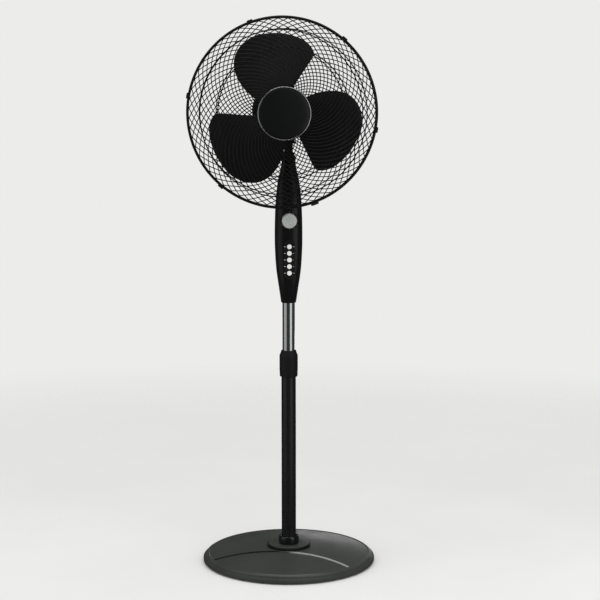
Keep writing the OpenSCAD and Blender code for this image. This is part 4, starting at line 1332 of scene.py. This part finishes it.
    def dial(self) -> None:
        """The timer dial: bezel, ticks, fluted knob and its pointer."""
        bezel = self.at.bezel
        z, front, depth, r = bezel.middle.z, -bezel.low.y, bezel.size.y, bezel.size.x / 2
        place = facing(0, -front, z)
        ring = fillet([
            (3.6, -depth, 0), (r, -depth, 0), (r, 0, 0.9), (r - 2.5, 0, 0.3), (r - 2.5, -1.6, 0.4), (3.6, -1.6, 0)])
        self.shop.fit(lathe("dial_bezel", ring, place, steps=160), "mast", PANEL_SATIN, "knob_bezel")
        ticks = Draft()
        for i in range(11):
            spin = Matrix.Rotation(math.radians(150 - 30 * i), 4, "Z")
            bar = [(r - 1.85, -0.2), (r - 1.0, -0.2), (r - 1.0, 0.2), (r - 1.85, 0.2)]
            prism(ticks, bar, -0.1, 0.08, place @ spin)
        self.shop.fit(ticks.build("dial_ticks"), "mast", MARK_PAINT)
        knob_r = self.at.knob.size.x / 2

        def flute(angle: np.ndarray, radius: float, height: float) -> np.ndarray:
            """Fine flutes on the knob's side."""
            deep = 0.28 if radius > 15.0 and height > 0.5 else 0.0
            return -deep * (0.5 - 0.5 * np.cos(48 * angle)) ** 2

        outline = fillet([
            (0, 12.4, 0), (knob_r - 4.4, 12.0, 12.0), (knob_r - 1.7, 11.7, 1.6), (knob_r - 0.6, 9.0, 3.0),
            (knob_r - 0.1, 4.0, 3.0), (knob_r, 0.8, 0.4), (knob_r, -1.2, 0.3), (3.0, -1.2, 0), (3.0, -20.0, 0.4),
            (0, -20.0, 0)], closed=False, steps=6)
        piece = lathe("dial_knob", outline, place, closed=False, steps=384, ripple=flute)
        self.shop.fit(piece, "timer", KNOB_SILVER, "timer_knob")
        pointer = Draft()
        turn = Matrix.Rotation(math.radians(30), 4, "Z")
        reach = knob_r - 3.0
        bar = fillet([(-2.1, -reach, 1.9), (2.1, -reach, 1.9), (2.1, reach, 1.9), (-2.1, reach, 1.9)], steps=8)
        prism(pointer, bar, 9.5, 14.0, place @ turn, edge=1.3)
        self.shop.fit(pointer.build("dial_pointer"), "timer", KNOB_SILVER)


# ---------------------------------------------------------------- neck


@dataclass
class Neck:
    """The slotted yoke, the tilt grip and the knuckle that carries the head."""

    shop: Workshop
    at: Layout
    form: Section

    def build(self) -> None:
        """Makes the neck's pieces."""
        self.yoke()
        self.grip()
        self.shop.keep("tilt_knuckle", CAST_BLACK, 0.6)
        for node in ("tilt_bolt", "swing_pin", "swing_clip", "link_stud", "swing_link"):
            self.shop.keep(node, ZINC, 0.3)
        self.shop.keep("swing_crank", IVORY, 0.3)

    def yoke(self) -> None:
        """The yoke: the housing's form carried on, rounded over its two ears."""
        length, form = self.form.length, self.form
        top = self.at.yoke.high.z - form.foot
        angles = np.linspace(0, 2 * math.pi, 96, endpoint=False)
        soft = 4.5
        levels = [(2.5, h) for h in np.linspace(self.at.yoke.low.z - form.foot, length + 0.2, 6)]
        levels += [(0.7, length + 0.25), (0.3, length + 0.5), (0.0, length + 1.2)]
        levels += [(0.0, h) for h in np.linspace(length + 2.0, top - soft, 26)]
        levels += [(soft * (1 - math.cos(a)), top - soft * (1 - math.sin(a)))
                   for a in np.linspace(0.1, math.pi / 2, 8)]
        draft = Draft()
        sheet = np.array([form.ring(height, angles, inset) for inset, height in levels])
        draft.grid(sheet, wrap_columns=True)
        draft.lid(sheet[0])
        draft.lid(sheet[-1])
        pin = self.at.bolt.middle.z
        slot, bore, duct = Draft(), Draft(), Draft()
        floor = pin - 15.5
        prism(slot, [(-9.3, -60), (9.3, -60), (9.3, 60), (-9.3, 60)], floor, floor + 60.0, upright())
        turned(bore, [(0, -40), (7.2, -40), (7.2, -13.2), (4.1, -13.2), (4.1, 13.2), (7.2, 13.2), (7.2, 40), (0, 40)],
               sideways(0, 0, pin), closed=False, steps=64)
        prism(duct, circle(5.0, 40), self.at.yoke.low.z - 10.0, floor + 5.0, upright())
        tools = [slot.build("slot_tool"), bore.build("bore_tool"), duct.build("duct_tool")]
        piece = carve(draft.build("yoke_top"), tools, sharp=28.0)
        soften(piece, 0.7, 3, limit=42.0)
        self.shop.fit(piece, "mast", HOUSING_GLOSS, "tilt_yoke")

    def grip(self) -> None:
        """The lobed tilt grip."""
        knob = self.at.tilt_knob
        r = knob.size.z / 2

        def lobe(angle: np.ndarray, radius: float, height: float) -> np.ndarray:
            """Eight finger hollows round the grip."""
            deep = 1.5 if radius > 8.0 and height < -17.9 else 0.0
            return -deep * (0.5 + 0.5 * np.cos(8 * angle)) ** 4

        outline = fillet([
            (0, -26.7, 0), (4.05, -26.7, 0), (4.05, knob.low.x + 0.4, 0), (5.6, knob.low.x, 0.5), (r, knob.low.x, 1.8),
            (r, -18.0, 1.2), (6.4, -18.0, 0.6), (6.4, -13.5, 0.4), (4.05, -13.5, 0), (4.05, -26.6, 0),
            (0, -26.6, 0)][1:-1], closed=True)
        piece = lathe("tilt_grip", outline, sideways(0, 0, self.at.bolt.middle.z), steps=192, ripple=lobe)
        self.shop.fit(piece, "tilt_lock", GRIP_MATTE, "tilt_knob")


# ---------------------------------------------------------------- motor


@dataclass
class MotorHead:
    """The motor, its gearbox and its cover."""

    shop: Workshop
    at: Layout

    def build(self) -> None:
        """Makes the cover and the swing grip, and dresses the motor inside."""
        self.shell()
        self.swing_grip()
        kept = (
            ("motor_mount", CAST_BLACK, 0.6), ("stator_core", CORE, 0.2), ("stator_windings", COPPER, 1.4),
            ("rear_bell", ALUMINIUM, 0.4), ("motor_bolts", ZINC, 0.2), ("motor_bearings", BRONZE, 0.2),
            ("gearbox_case", IVORY, 0.5), ("cover_screw", ZINC, 0.2), ("motor_rotor", CORE, 0.3),
            ("rear_guard_plate", CAST_BLACK, 0.3), ("guard_nut", GRIP_MATTE, 0.5),
        )
        for node, finish, edge in kept:
            self.shop.keep(node, finish, edge)

    def radius(self, back: float) -> float:
        """Outer radius of the cover at a distance behind the pole."""
        full, end = self.at.motor_r, self.at.shell.high.y
        share = (back - 48.0) / (end - 48.0)
        if share <= 0:
            return full
        return full * (math.sqrt(max(0.0, 1 - min(share, 1.0) ** 2.6)) * 0.62 + 0.38)

    def shell(self) -> None:
        """The deep-drawn cover with its ring of vents."""
        end, r = self.at.shell.high.y, self.at.motor_r
        front, wall = self.at.shell.low.y, 2.0
        backs = [48.0 + (end - 48.0) * math.sin(a) for a in np.linspace(0, math.pi / 2, 34)]
        outer = [(self.radius(b), -b) for b in backs]
        inner = [(self.radius(b) - wall, max(-b, -end + wall)) for b in backs[::-1]]
        edge = fillet([(0, -end, 0), (outer[-1][0], -end, 3.0), (outer[-4][0], outer[-4][1], 0)], closed=False, steps=6)
        outline = [(5.0, -end), *edge[1:-1], *outer[-4::-1], *fillet([
            (r, -48.0, 0), (r, -front, 0.5), (r - wall, -front, 0.5), (r - wall, -48.0, 0)], closed=False)[1:-1]]
        outline += inner[::-1][:-3] + [(inner[2][0] - 3.0, -end + wall), (5.0, -end + wall)]
        place = self.at.axis
        piece = lathe("motor_shell", outline, place, steps=192)
        tools = Draft()
        for i in range(18):
            slot = [(x, y) for y, x in stadium(2.8, 11.0, 22.0, 8)]
            prism(tools, slot, -end - 5.0, -end + 6.0, place @ Matrix.Rotation(math.radians(20 * i), 4, "Z"))
        foot = Draft()
        low = Extent.of("swing_clip").low.z - 24.3
        prism(foot, [(-15, -60), (29, -60), (29, 24), (-15, 24)], low - 19.0, low + 28.0, upright())
        crank = Extent.of("swing_crank")
        hole_x = self.at.swing_knob.middle.x
        hole_y = self.at.swing_knob.middle.y
        pins = Draft()
        prism(pins, circle(8.4, 48, hole_x, hole_y), low - 9.0, low + 30.0, upright())
        prism(pins, circle(3.6, 32, hole_x, hole_y), place.translation.z + 20.0, place.translation.z + 100.0, upright())
        LOG.info("cover cut clear of a crank %.1f mm wide", crank.size.x)
        parts = [tools.build("vent_tools"), foot.build("foot_tool"), pins.build("pin_tools")]
        piece = carve(piece, parts, sharp=28.0)
        soften(piece, 0.35, 2, limit=42.0)
        self.shop.fit(piece, "head", CAST_BLACK, "motor_cover")

    def swing_grip(self) -> None:
        """The pull knob on top that starts and stops the swing."""
        knob = self.at.swing_knob
        top = knob.high.z

        def flute(angle: np.ndarray, radius: float, height: float) -> np.ndarray:
            """Flutes on the knob's head."""
            deep = 0.5 if radius > 7.0 else 0.0
            return -deep * (0.5 + 0.5 * np.cos(16 * angle))

        outline = fillet([
            (0, knob.low.z, 0), (3.0, knob.low.z, 0.3), (3.0, top - 13.5, 0), (4.2, top - 13.5, 0.3),
            (4.2, top - 9.0, 0.6), (5.0, top - 9.0, 0.4), (8.5, top - 3.0, 1.2), (8.3, top - 1.2, 0.8),
            (7.0, top, 1.0), (0, top + 0.3, 0)], closed=False)
        place = upright(knob.middle.x, knob.middle.y)
        piece = lathe("swing_grip", outline, place, closed=False, steps=160, ripple=flute)
        self.shop.fit(piece, "swing_lift", GRIP_MATTE, "swing_knob")


# ---------------------------------------------------------------- guard


@dataclass(frozen=True)
class Dome:
    """The form of one guard: its spokes run from a start radius out to the rim."""

    start: float
    end: float
    rim_z: float
    depth: float
    hand: int
    sweep: float = math.radians(88)

    def radius(self, t: float) -> float:
        """Radius of a spoke at t, from 0 at the hub to 1 at the rim."""
        return self.start + (self.end - self.start) * math.sin(t * math.pi / 2) ** 0.76

    def height(self, t: float) -> float:
        """Distance forward of a spoke at t."""
        return self.rim_z + self.depth * max(0.0, math.cos(t * math.pi / 2)) ** 0.76

    def point(self, t: float, first: float) -> Vector:
        """A spoke's point at t, for a spoke that starts at the angle first."""
        r = self.radius(t)
        share = (r - self.start) / (self.end - self.start)
        angle = first + self.hand * self.sweep * share
        return Vector((r * math.cos(angle), r * math.sin(angle), self.height(t)))


@dataclass
class Guard:
    """Front and rear wire guards with their hoops and clips."""

    shop: Workshop
    at: Layout
    spokes: int = 60
    steps: int = 26

    def build(self) -> None:
        """Makes both guards."""
        rim, end = self.at.rim_plane, self.at.rim_r - 1.3
        front_z, rear_z = rim + HOOP_R + 0.1, rim - HOOP_R - 0.1
        badge_z = -self.at.badge.high.y
        plate_z = -self.at.plate.low.y
        front = Dome(self.at.badge_r - 4.0, end, front_z, badge_z - 0.9 - front_z, 1)
        rear = Dome(self.at.plate.size.x / 2 - 3.0, end, rear_z, plate_z + 0.9 - rear_z, -1)
        self.wires("front_spokes", front, "front_guard_wires")
        self.wires("rear_spokes", rear, "rear_guard_wires")
        self.hoops("front_hoops", front, -1.4, (0.0, 0.33, 0.58), "front_guard_hoops")
        self.hoops("rear_hoops", rear, 1.4, (0.33, 0.58), "rear_guard_hoops")
        self.latches()

    def wires(self, name: str, dome: Dome, node: str) -> None:
        """All spokes of one guard, as one curve.

        Args:
            name: the piece's name.
            dome: the guard's form.
            node: the frame node it stands for.
        """
        curve = bpy.data.curves.new(name, "CURVE")
        curve.dimensions = "3D"
        curve.bevel_depth = SPOKE_R * MM
        curve.bevel_resolution = 2
        curve.use_fill_caps = True
        ts = np.linspace(0.0, 1.0, self.steps) ** 1.25
        place = self.at.axis
        for i in range(self.spokes):
            first = i * 2 * math.pi / self.spokes
            spline = curve.splines.new("POLY")
            spline.points.add(len(ts) - 1)
            for knot, t in zip(spline.points, ts):
                knot.co = (*(place @ dome.point(float(t), first) * MM), 1.0)
            spline.use_smooth = True
        thing = bpy.data.objects.new(name, curve)
        bpy.context.scene.collection.objects.link(thing)
        self.shop.fit(thing, "head", WIRE_COAT, node)

    def hoops(self, name: str, dome: Dome, inset: float, ts: Sequence[float], node: str) -> None:
        """The rim hoop and the thin rings that the spokes are welded to.

        Args:
            name: the piece's name.
            dome: the guard's form.
            inset: distance of the thin rings behind the spokes.
            ts: where the thin rings lie along the spokes.
            node: the frame node it stands for.
        """
        draft = Draft()
        turned(draft, circle(HOOP_R, 24, self.at.rim_r, dome.rim_z), self.at.axis, steps=256)
        for t in ts:
            radius = dome.radius(t) + (0.0 if t > 0 else 1.5)
            ring = circle(RING_WIRE_R, 16, radius, dome.height(t) + inset)
            turned(draft, ring, self.at.axis, steps=224)
        self.shop.fit(draft.build(name, 60.0), "head", WIRE_COAT, node)

    def latches(self) -> None:
        """Six clips over the rim; the one at the lower right carries the lock screw's lug."""
        draft = Draft()
        r, plane = self.at.rim_r, self.at.rim_plane
        for i in range(6):
            start, span, grow = math.radians(48 + 60 * i), math.radians(3.4), 0.0
            if i == 4:
                start, span, grow = start - math.radians(0.6), math.radians(4.6), 1.0
            out, deep = r + HOOP_R + 2.6 + grow, 2 * HOOP_R + 2.6
            section = fillet([(r - 0.4, plane - deep, 0.8), (out, plane - deep, 1.6),
                              (out, plane + deep, 1.6), (r - 0.4, plane + deep, 0.8)])
            rows = []
            for k, a in enumerate(np.linspace(start, start + span, 9)):
                shrink = 0.5 if k in (0, 8) else 0.0
                across = np.array([(p[0] - shrink * np.sign(p[0] - r - 2), p[1] - shrink * np.sign(p[1] - plane))
                                   for p in section])
                spot = np.stack([across[:, 0] * math.cos(a), across[:, 0] * math.sin(a), across[:, 1]], 1)
                rows.append(placed(spot, self.at.axis))
            draft.grid(np.array(rows), wrap_columns=True)
            draft.lid(rows[0])
            draft.lid(rows[-1])
        self.shop.fit(draft.build("rim_latches"), "head", GRIP_MATTE, "rim_clips")


@dataclass
class Badge:
    """The domed badge in the guard's middle, with a bright ring and no lettering."""

    shop: Workshop
    at: Layout

    def build(self) -> None:
        """Makes the dome and its ring."""
        back, front = -self.at.badge.high.y, -self.at.badge.low.y
        r = self.at.badge_r
        dome = [((r - 1.8) * math.cos(a), back + 3.4 + (front - back - 3.4) * math.sin(a))
                for a in np.linspace(0, math.pi / 2, 26)]
        outline = [(0.0, back), (r - 1.8, back), *dome[:-1], (0.0, front)]
        piece = lathe("badge_dome", outline, self.at.axis, closed=False, steps=192)
        self.shop.fit(piece, "head", BADGE_GLOSS, "guard_badge")
        ring = fillet([(r - 1.5, back, 0), (r + 1.0, back, 0.8), (r + 2.0, back + 1.6, 1.2),
                       (r + 1.0, back + 4.2, 1.2), (r - 0.7, back + 4.8, 0.9), (r - 1.5, back + 3.2, 0.4)], steps=5)
        self.shop.fit(lathe("badge_trim", ring, self.at.axis, steps=192), "head", RING_CHROME, "badge_ring")


# ---------------------------------------------------------------- blade


@dataclass
class Blade:
    """The three-petal blade on its ribbed hub."""

    shop: Workshop
    at: Layout
    rounded: tuple[Flat, ...] = (
        (0.19, 158), (0.4, 153), (0.52, 149.5), (0.645, 145), (0.764, 140), (0.85, 135), (0.91, 130), (0.95, 125),
        (0.978, 120), (0.992, 115), (1, 111))
    straight: tuple[Flat, ...] = (
        (0.19, 66), (0.39, 64.5), (0.61, 61.5), (0.78, 60.5), (0.84, 61.5), (0.88, 65), (0.92, 70.5),
        (0.945, 77), (0.965, 85.5), (0.98, 93.5), (0.99, 101), (1, 107))
    thickness: float = 2.2
    rise: float = 46.0

    def build(self) -> None:
        """Makes petals, hub and nut as one moulding."""
        draft = Draft()
        for i in range(3):
            self.petal(draft, Matrix.Rotation(math.radians(120 * i), 4, "Z"))
        self.hub(draft)
        self.shop.fit(draft.build("petal_blade", 36.0), "rotor", BLADE_SATIN, "fan_blade")

    def petal(self, draft: Draft, turn: Matrix) -> None:
        """Adds one petal with a thin rounded edge and a thick root.

        Args:
            draft: what to add to.
            turn: the petal's turn about the shaft.
        """
        lead, trail = curve_line(self.straight), curve_line(self.rounded)
        sweep = self.at.blade_r - 0.2
        around = 34
        vs = 0.5 - 0.5 * np.cos(np.linspace(0, math.pi, around))
        rows = []
        for u in np.sin(np.linspace(0.0, 1.0, 46) * math.pi / 2) ** 1.1:
            share = 0.19 + 0.81 * math.sin(u * math.pi / 2)
            first, last = lead(share), trail(share)
            degrees = first + (last - first) * vs
            radius = sweep * share
            forward = self.at.rim_plane + self.rise * ((degrees - 109) / 98 + 0.07 * np.sin(vs * math.pi))
            body = self.thickness / 2 * (1.0 + 0.9 * max(0.0, (0.34 - share) / 0.15))
            thin = body * (1 - np.abs(2 * vs - 1) ** 16) ** 0.5 * (1 - u**22) ** 0.5
            angle = np.radians(degrees)
            x, y = radius * np.cos(angle), radius * np.sin(angle)
            front = np.stack([x, y, forward + thin], 1)
            back = np.stack([x, y, forward - thin], 1)[::-1][1:-1]
            rows.append(placed(np.concatenate([front, back]), self.at.axis @ turn))
        draft.grid(np.array(rows), wrap_columns=True)
        draft.lid(rows[0])
        draft.lid(rows[-1])

    def hub(self, draft: Draft) -> None:
        """Adds the hub's cup, core, ribs and spinner nut."""
        front = self.at.rim_plane + self.rise / 2 + 3.0
        back = self.at.rim_plane - self.rise / 2 - 3.0
        r = 37.0
        cup = fillet([
            (4.0, front, 0.2), (r, front, 5.0), (r, back, 0.8), (r - 3.6, back, 0.8), (r - 3.6, front - 7.0, 3.0),
            (r - 9.0, front - 4.0, 2.0), (11.0, front - 4.0, 1.0), (11.0, back - 14.0, 1.0), (4.0, back - 14.0, 0.4)],
            steps=6)
        turned(draft, cup, self.at.axis, steps=128)
        nut = fillet([(4.0, front - 1.0, 0), (15.0, front - 1.0, 0), (15.0, front + 3.0, 1.0),
                      (11.4, front + 13.6, 2.0), (4.0, front + 14.0, 0.5)], steps=5)
        turned(draft, nut, self.at.axis, steps=96)
        for i in range(6):
            rib = [(10.0, -1.0), (r - 3.0, -1.0), (r - 3.0, 1.0), (10.0, 1.0)]
            place = self.at.axis @ Matrix.Rotation(math.radians(60 * i), 4, "Z")
            prism(draft, rib, back + 4.0, front - 3.6, place)


# ---------------------------------------------------------------- studio


@dataclass(frozen=True)
class SoftLight:
    """One rectangular softbox."""

    name: str
    spot: tuple[float, float, float]
    aim: tuple[float, float, float]
    width: float
    height: float
    power: float
    only_shine: bool = False

    def place(self) -> None:
        """Adds the light to the scene."""
        data = bpy.data.lights.new(self.name, "AREA")
        data.shape = "RECTANGLE"
        data.size, data.size_y = self.width, self.height
        data.energy = self.power
        lamp = bpy.data.objects.new(self.name, data)
        lamp.location = self.spot
        lamp.rotation_euler = (Vector(self.aim) - Vector(self.spot)).to_track_quat("-Z", "Y").to_euler()
        lamp.visible_camera = False
        lamp.visible_diffuse = not self.only_shine
        bpy.context.scene.collection.objects.link(lamp)


@dataclass
class Studio:
    """Floor, world, lights and camera."""

    view_heading: float = math.radians(-3.399)
    view_turn: float = math.radians(-0.398)
    view_pitch: float = math.radians(7.889)
    view_range: float = 3.700
    view_height: float = 1.1158
    lens: float = 99.41

    def build(self) -> None:
        """Sets the whole studio up."""
        bpy.context.scene.view_settings.view_transform = "Standard"
        self.world()
        self.floor()
        for light in (
            SoftLight("panel_left", (-1.62, -0.62, 1.0), (0, 0, 0.75), 1.9, 2.2, 6.4),
            SoftLight("panel_right", (1.25, -1.45, 1.0), (0, 0, 0.75), 1.4, 2.2, 8.6),
            SoftLight("top", (0.0, -0.3, 2.7), (0, 0, 0), 2.2, 2.2, 27.0),
            SoftLight("back", (0.55, 1.6, 0.16), (0, 0, 0.05), 0.9, 0.22, 0.9, only_shine=True),
        ):
            light.place()
        self.camera()

    def world(self) -> None:
        """A pale backdrop that lights softly and reflects dimly."""
        world = bpy.data.worlds.new("studio")
        world.use_nodes = True
        tree = world.node_tree
        tree.nodes.clear()
        output = tree.nodes.new("ShaderNodeOutputWorld")
        path = tree.nodes.new("ShaderNodeLightPath")
        strength: dict[str, bpy.types.Node] = {}
        for key, level in (("seen", 0.84), ("diffuse", 0.66), ("mirrored", 0.05)):
            node = tree.nodes.new("ShaderNodeBackground")
            node.inputs["Color"].default_value = (level, level, level * 0.99, 1.0)
            strength[key] = node
        lit = tree.nodes.new("ShaderNodeMixShader")
        tree.links.new(path.outputs["Is Diffuse Ray"], lit.inputs[0])
        tree.links.new(strength["mirrored"].outputs[0], lit.inputs[1])
        tree.links.new(strength["diffuse"].outputs[0], lit.inputs[2])
        shown = tree.nodes.new("ShaderNodeMixShader")
        tree.links.new(path.outputs["Is Camera Ray"], shown.inputs[0])
        tree.links.new(lit.outputs[0], shown.inputs[1])
        tree.links.new(strength["seen"].outputs[0], shown.inputs[2])
        tree.links.new(shown.outputs[0], output.inputs["Surface"])
        bpy.context.scene.world = world

    def floor(self) -> None:
        """A round pale floor that fades into the backdrop."""
        draft = Draft()
        rings = [(r * 1000.0, 0.0) for r in (0.0, 0.3, 0.7, 1.2, 1.8, 2.4, 3.0)]
        angle = np.linspace(0, 2 * math.pi, 96, endpoint=False)
        rows = [np.stack([max(r, 0.01) * np.cos(angle), max(r, 0.01) * np.sin(angle), np.full(96, z)], 1)
                for r, z in rings]
        draft.grid(np.array(rows), wrap_columns=True)
        floor = draft.build("floor")
        graph = Graph("floor_paper")
        tone = graph.remap(graph.noise(2.0, 4.0), 0.0, 1.0)
        graph.join(graph.blend(tone, (0.80, 0.80, 0.79), (0.84, 0.84, 0.83)), graph.shader.inputs["Base Color"])
        graph.shader.inputs["Roughness"].default_value = 0.9
        graph.shader.inputs["Specular IOR Level"].default_value = 0.1
        far = graph.tree.nodes.new("ShaderNodeVectorMath")
        far.operation = "LENGTH"
        graph.join(graph.place, far.inputs[0])
        graph.join(graph.remap(far.outputs["Value"], 1.0, 0.0, 0.7, 2.6), graph.shader.inputs["Alpha"])
        floor.data.materials.append(graph.material)
        floor.visible_glossy = False

    def camera(self) -> None:
        """The camera, level to the side and pitched down a little."""
        data = bpy.data.cameras.new("view")
        data.sensor_width = 36.0
        data.lens = self.lens
        eye = bpy.data.objects.new("view", data)
        eye.location = (math.sin(self.view_heading) * self.view_range,
                        -math.cos(self.view_heading) * self.view_range, self.view_height)
        heading, pitch = self.view_heading + self.view_turn, self.view_pitch
        ahead = Vector((-math.sin(heading) * math.cos(pitch), math.cos(heading) * math.cos(pitch), -math.sin(pitch)))
        eye.rotation_euler = ahead.to_track_quat("-Z", "Y").to_euler()
        bpy.context.scene.collection.objects.link(eye)
        bpy.context.scene.camera = eye


# ---------------------------------------------------------------- main


def main() -> None:
    """Builds the pieces in order, then the studio."""
    logging.basicConfig(level=logging.INFO, format="%(message)s")
    shop, at = Workshop(), Layout.read()
    housing = ControlHousing(shop, at)
    assemblies = (Base(shop, at), Pole(shop, at), housing, Neck(shop, at, housing.form),
                  MotorHead(shop, at), Guard(shop, at), Badge(shop, at), Blade(shop, at))
    for assembly in assemblies:
        LOG.info("building %s", type(assembly).__name__)
        assembly.build()
    Studio().build()


if __name__ == "__main__":
    main()
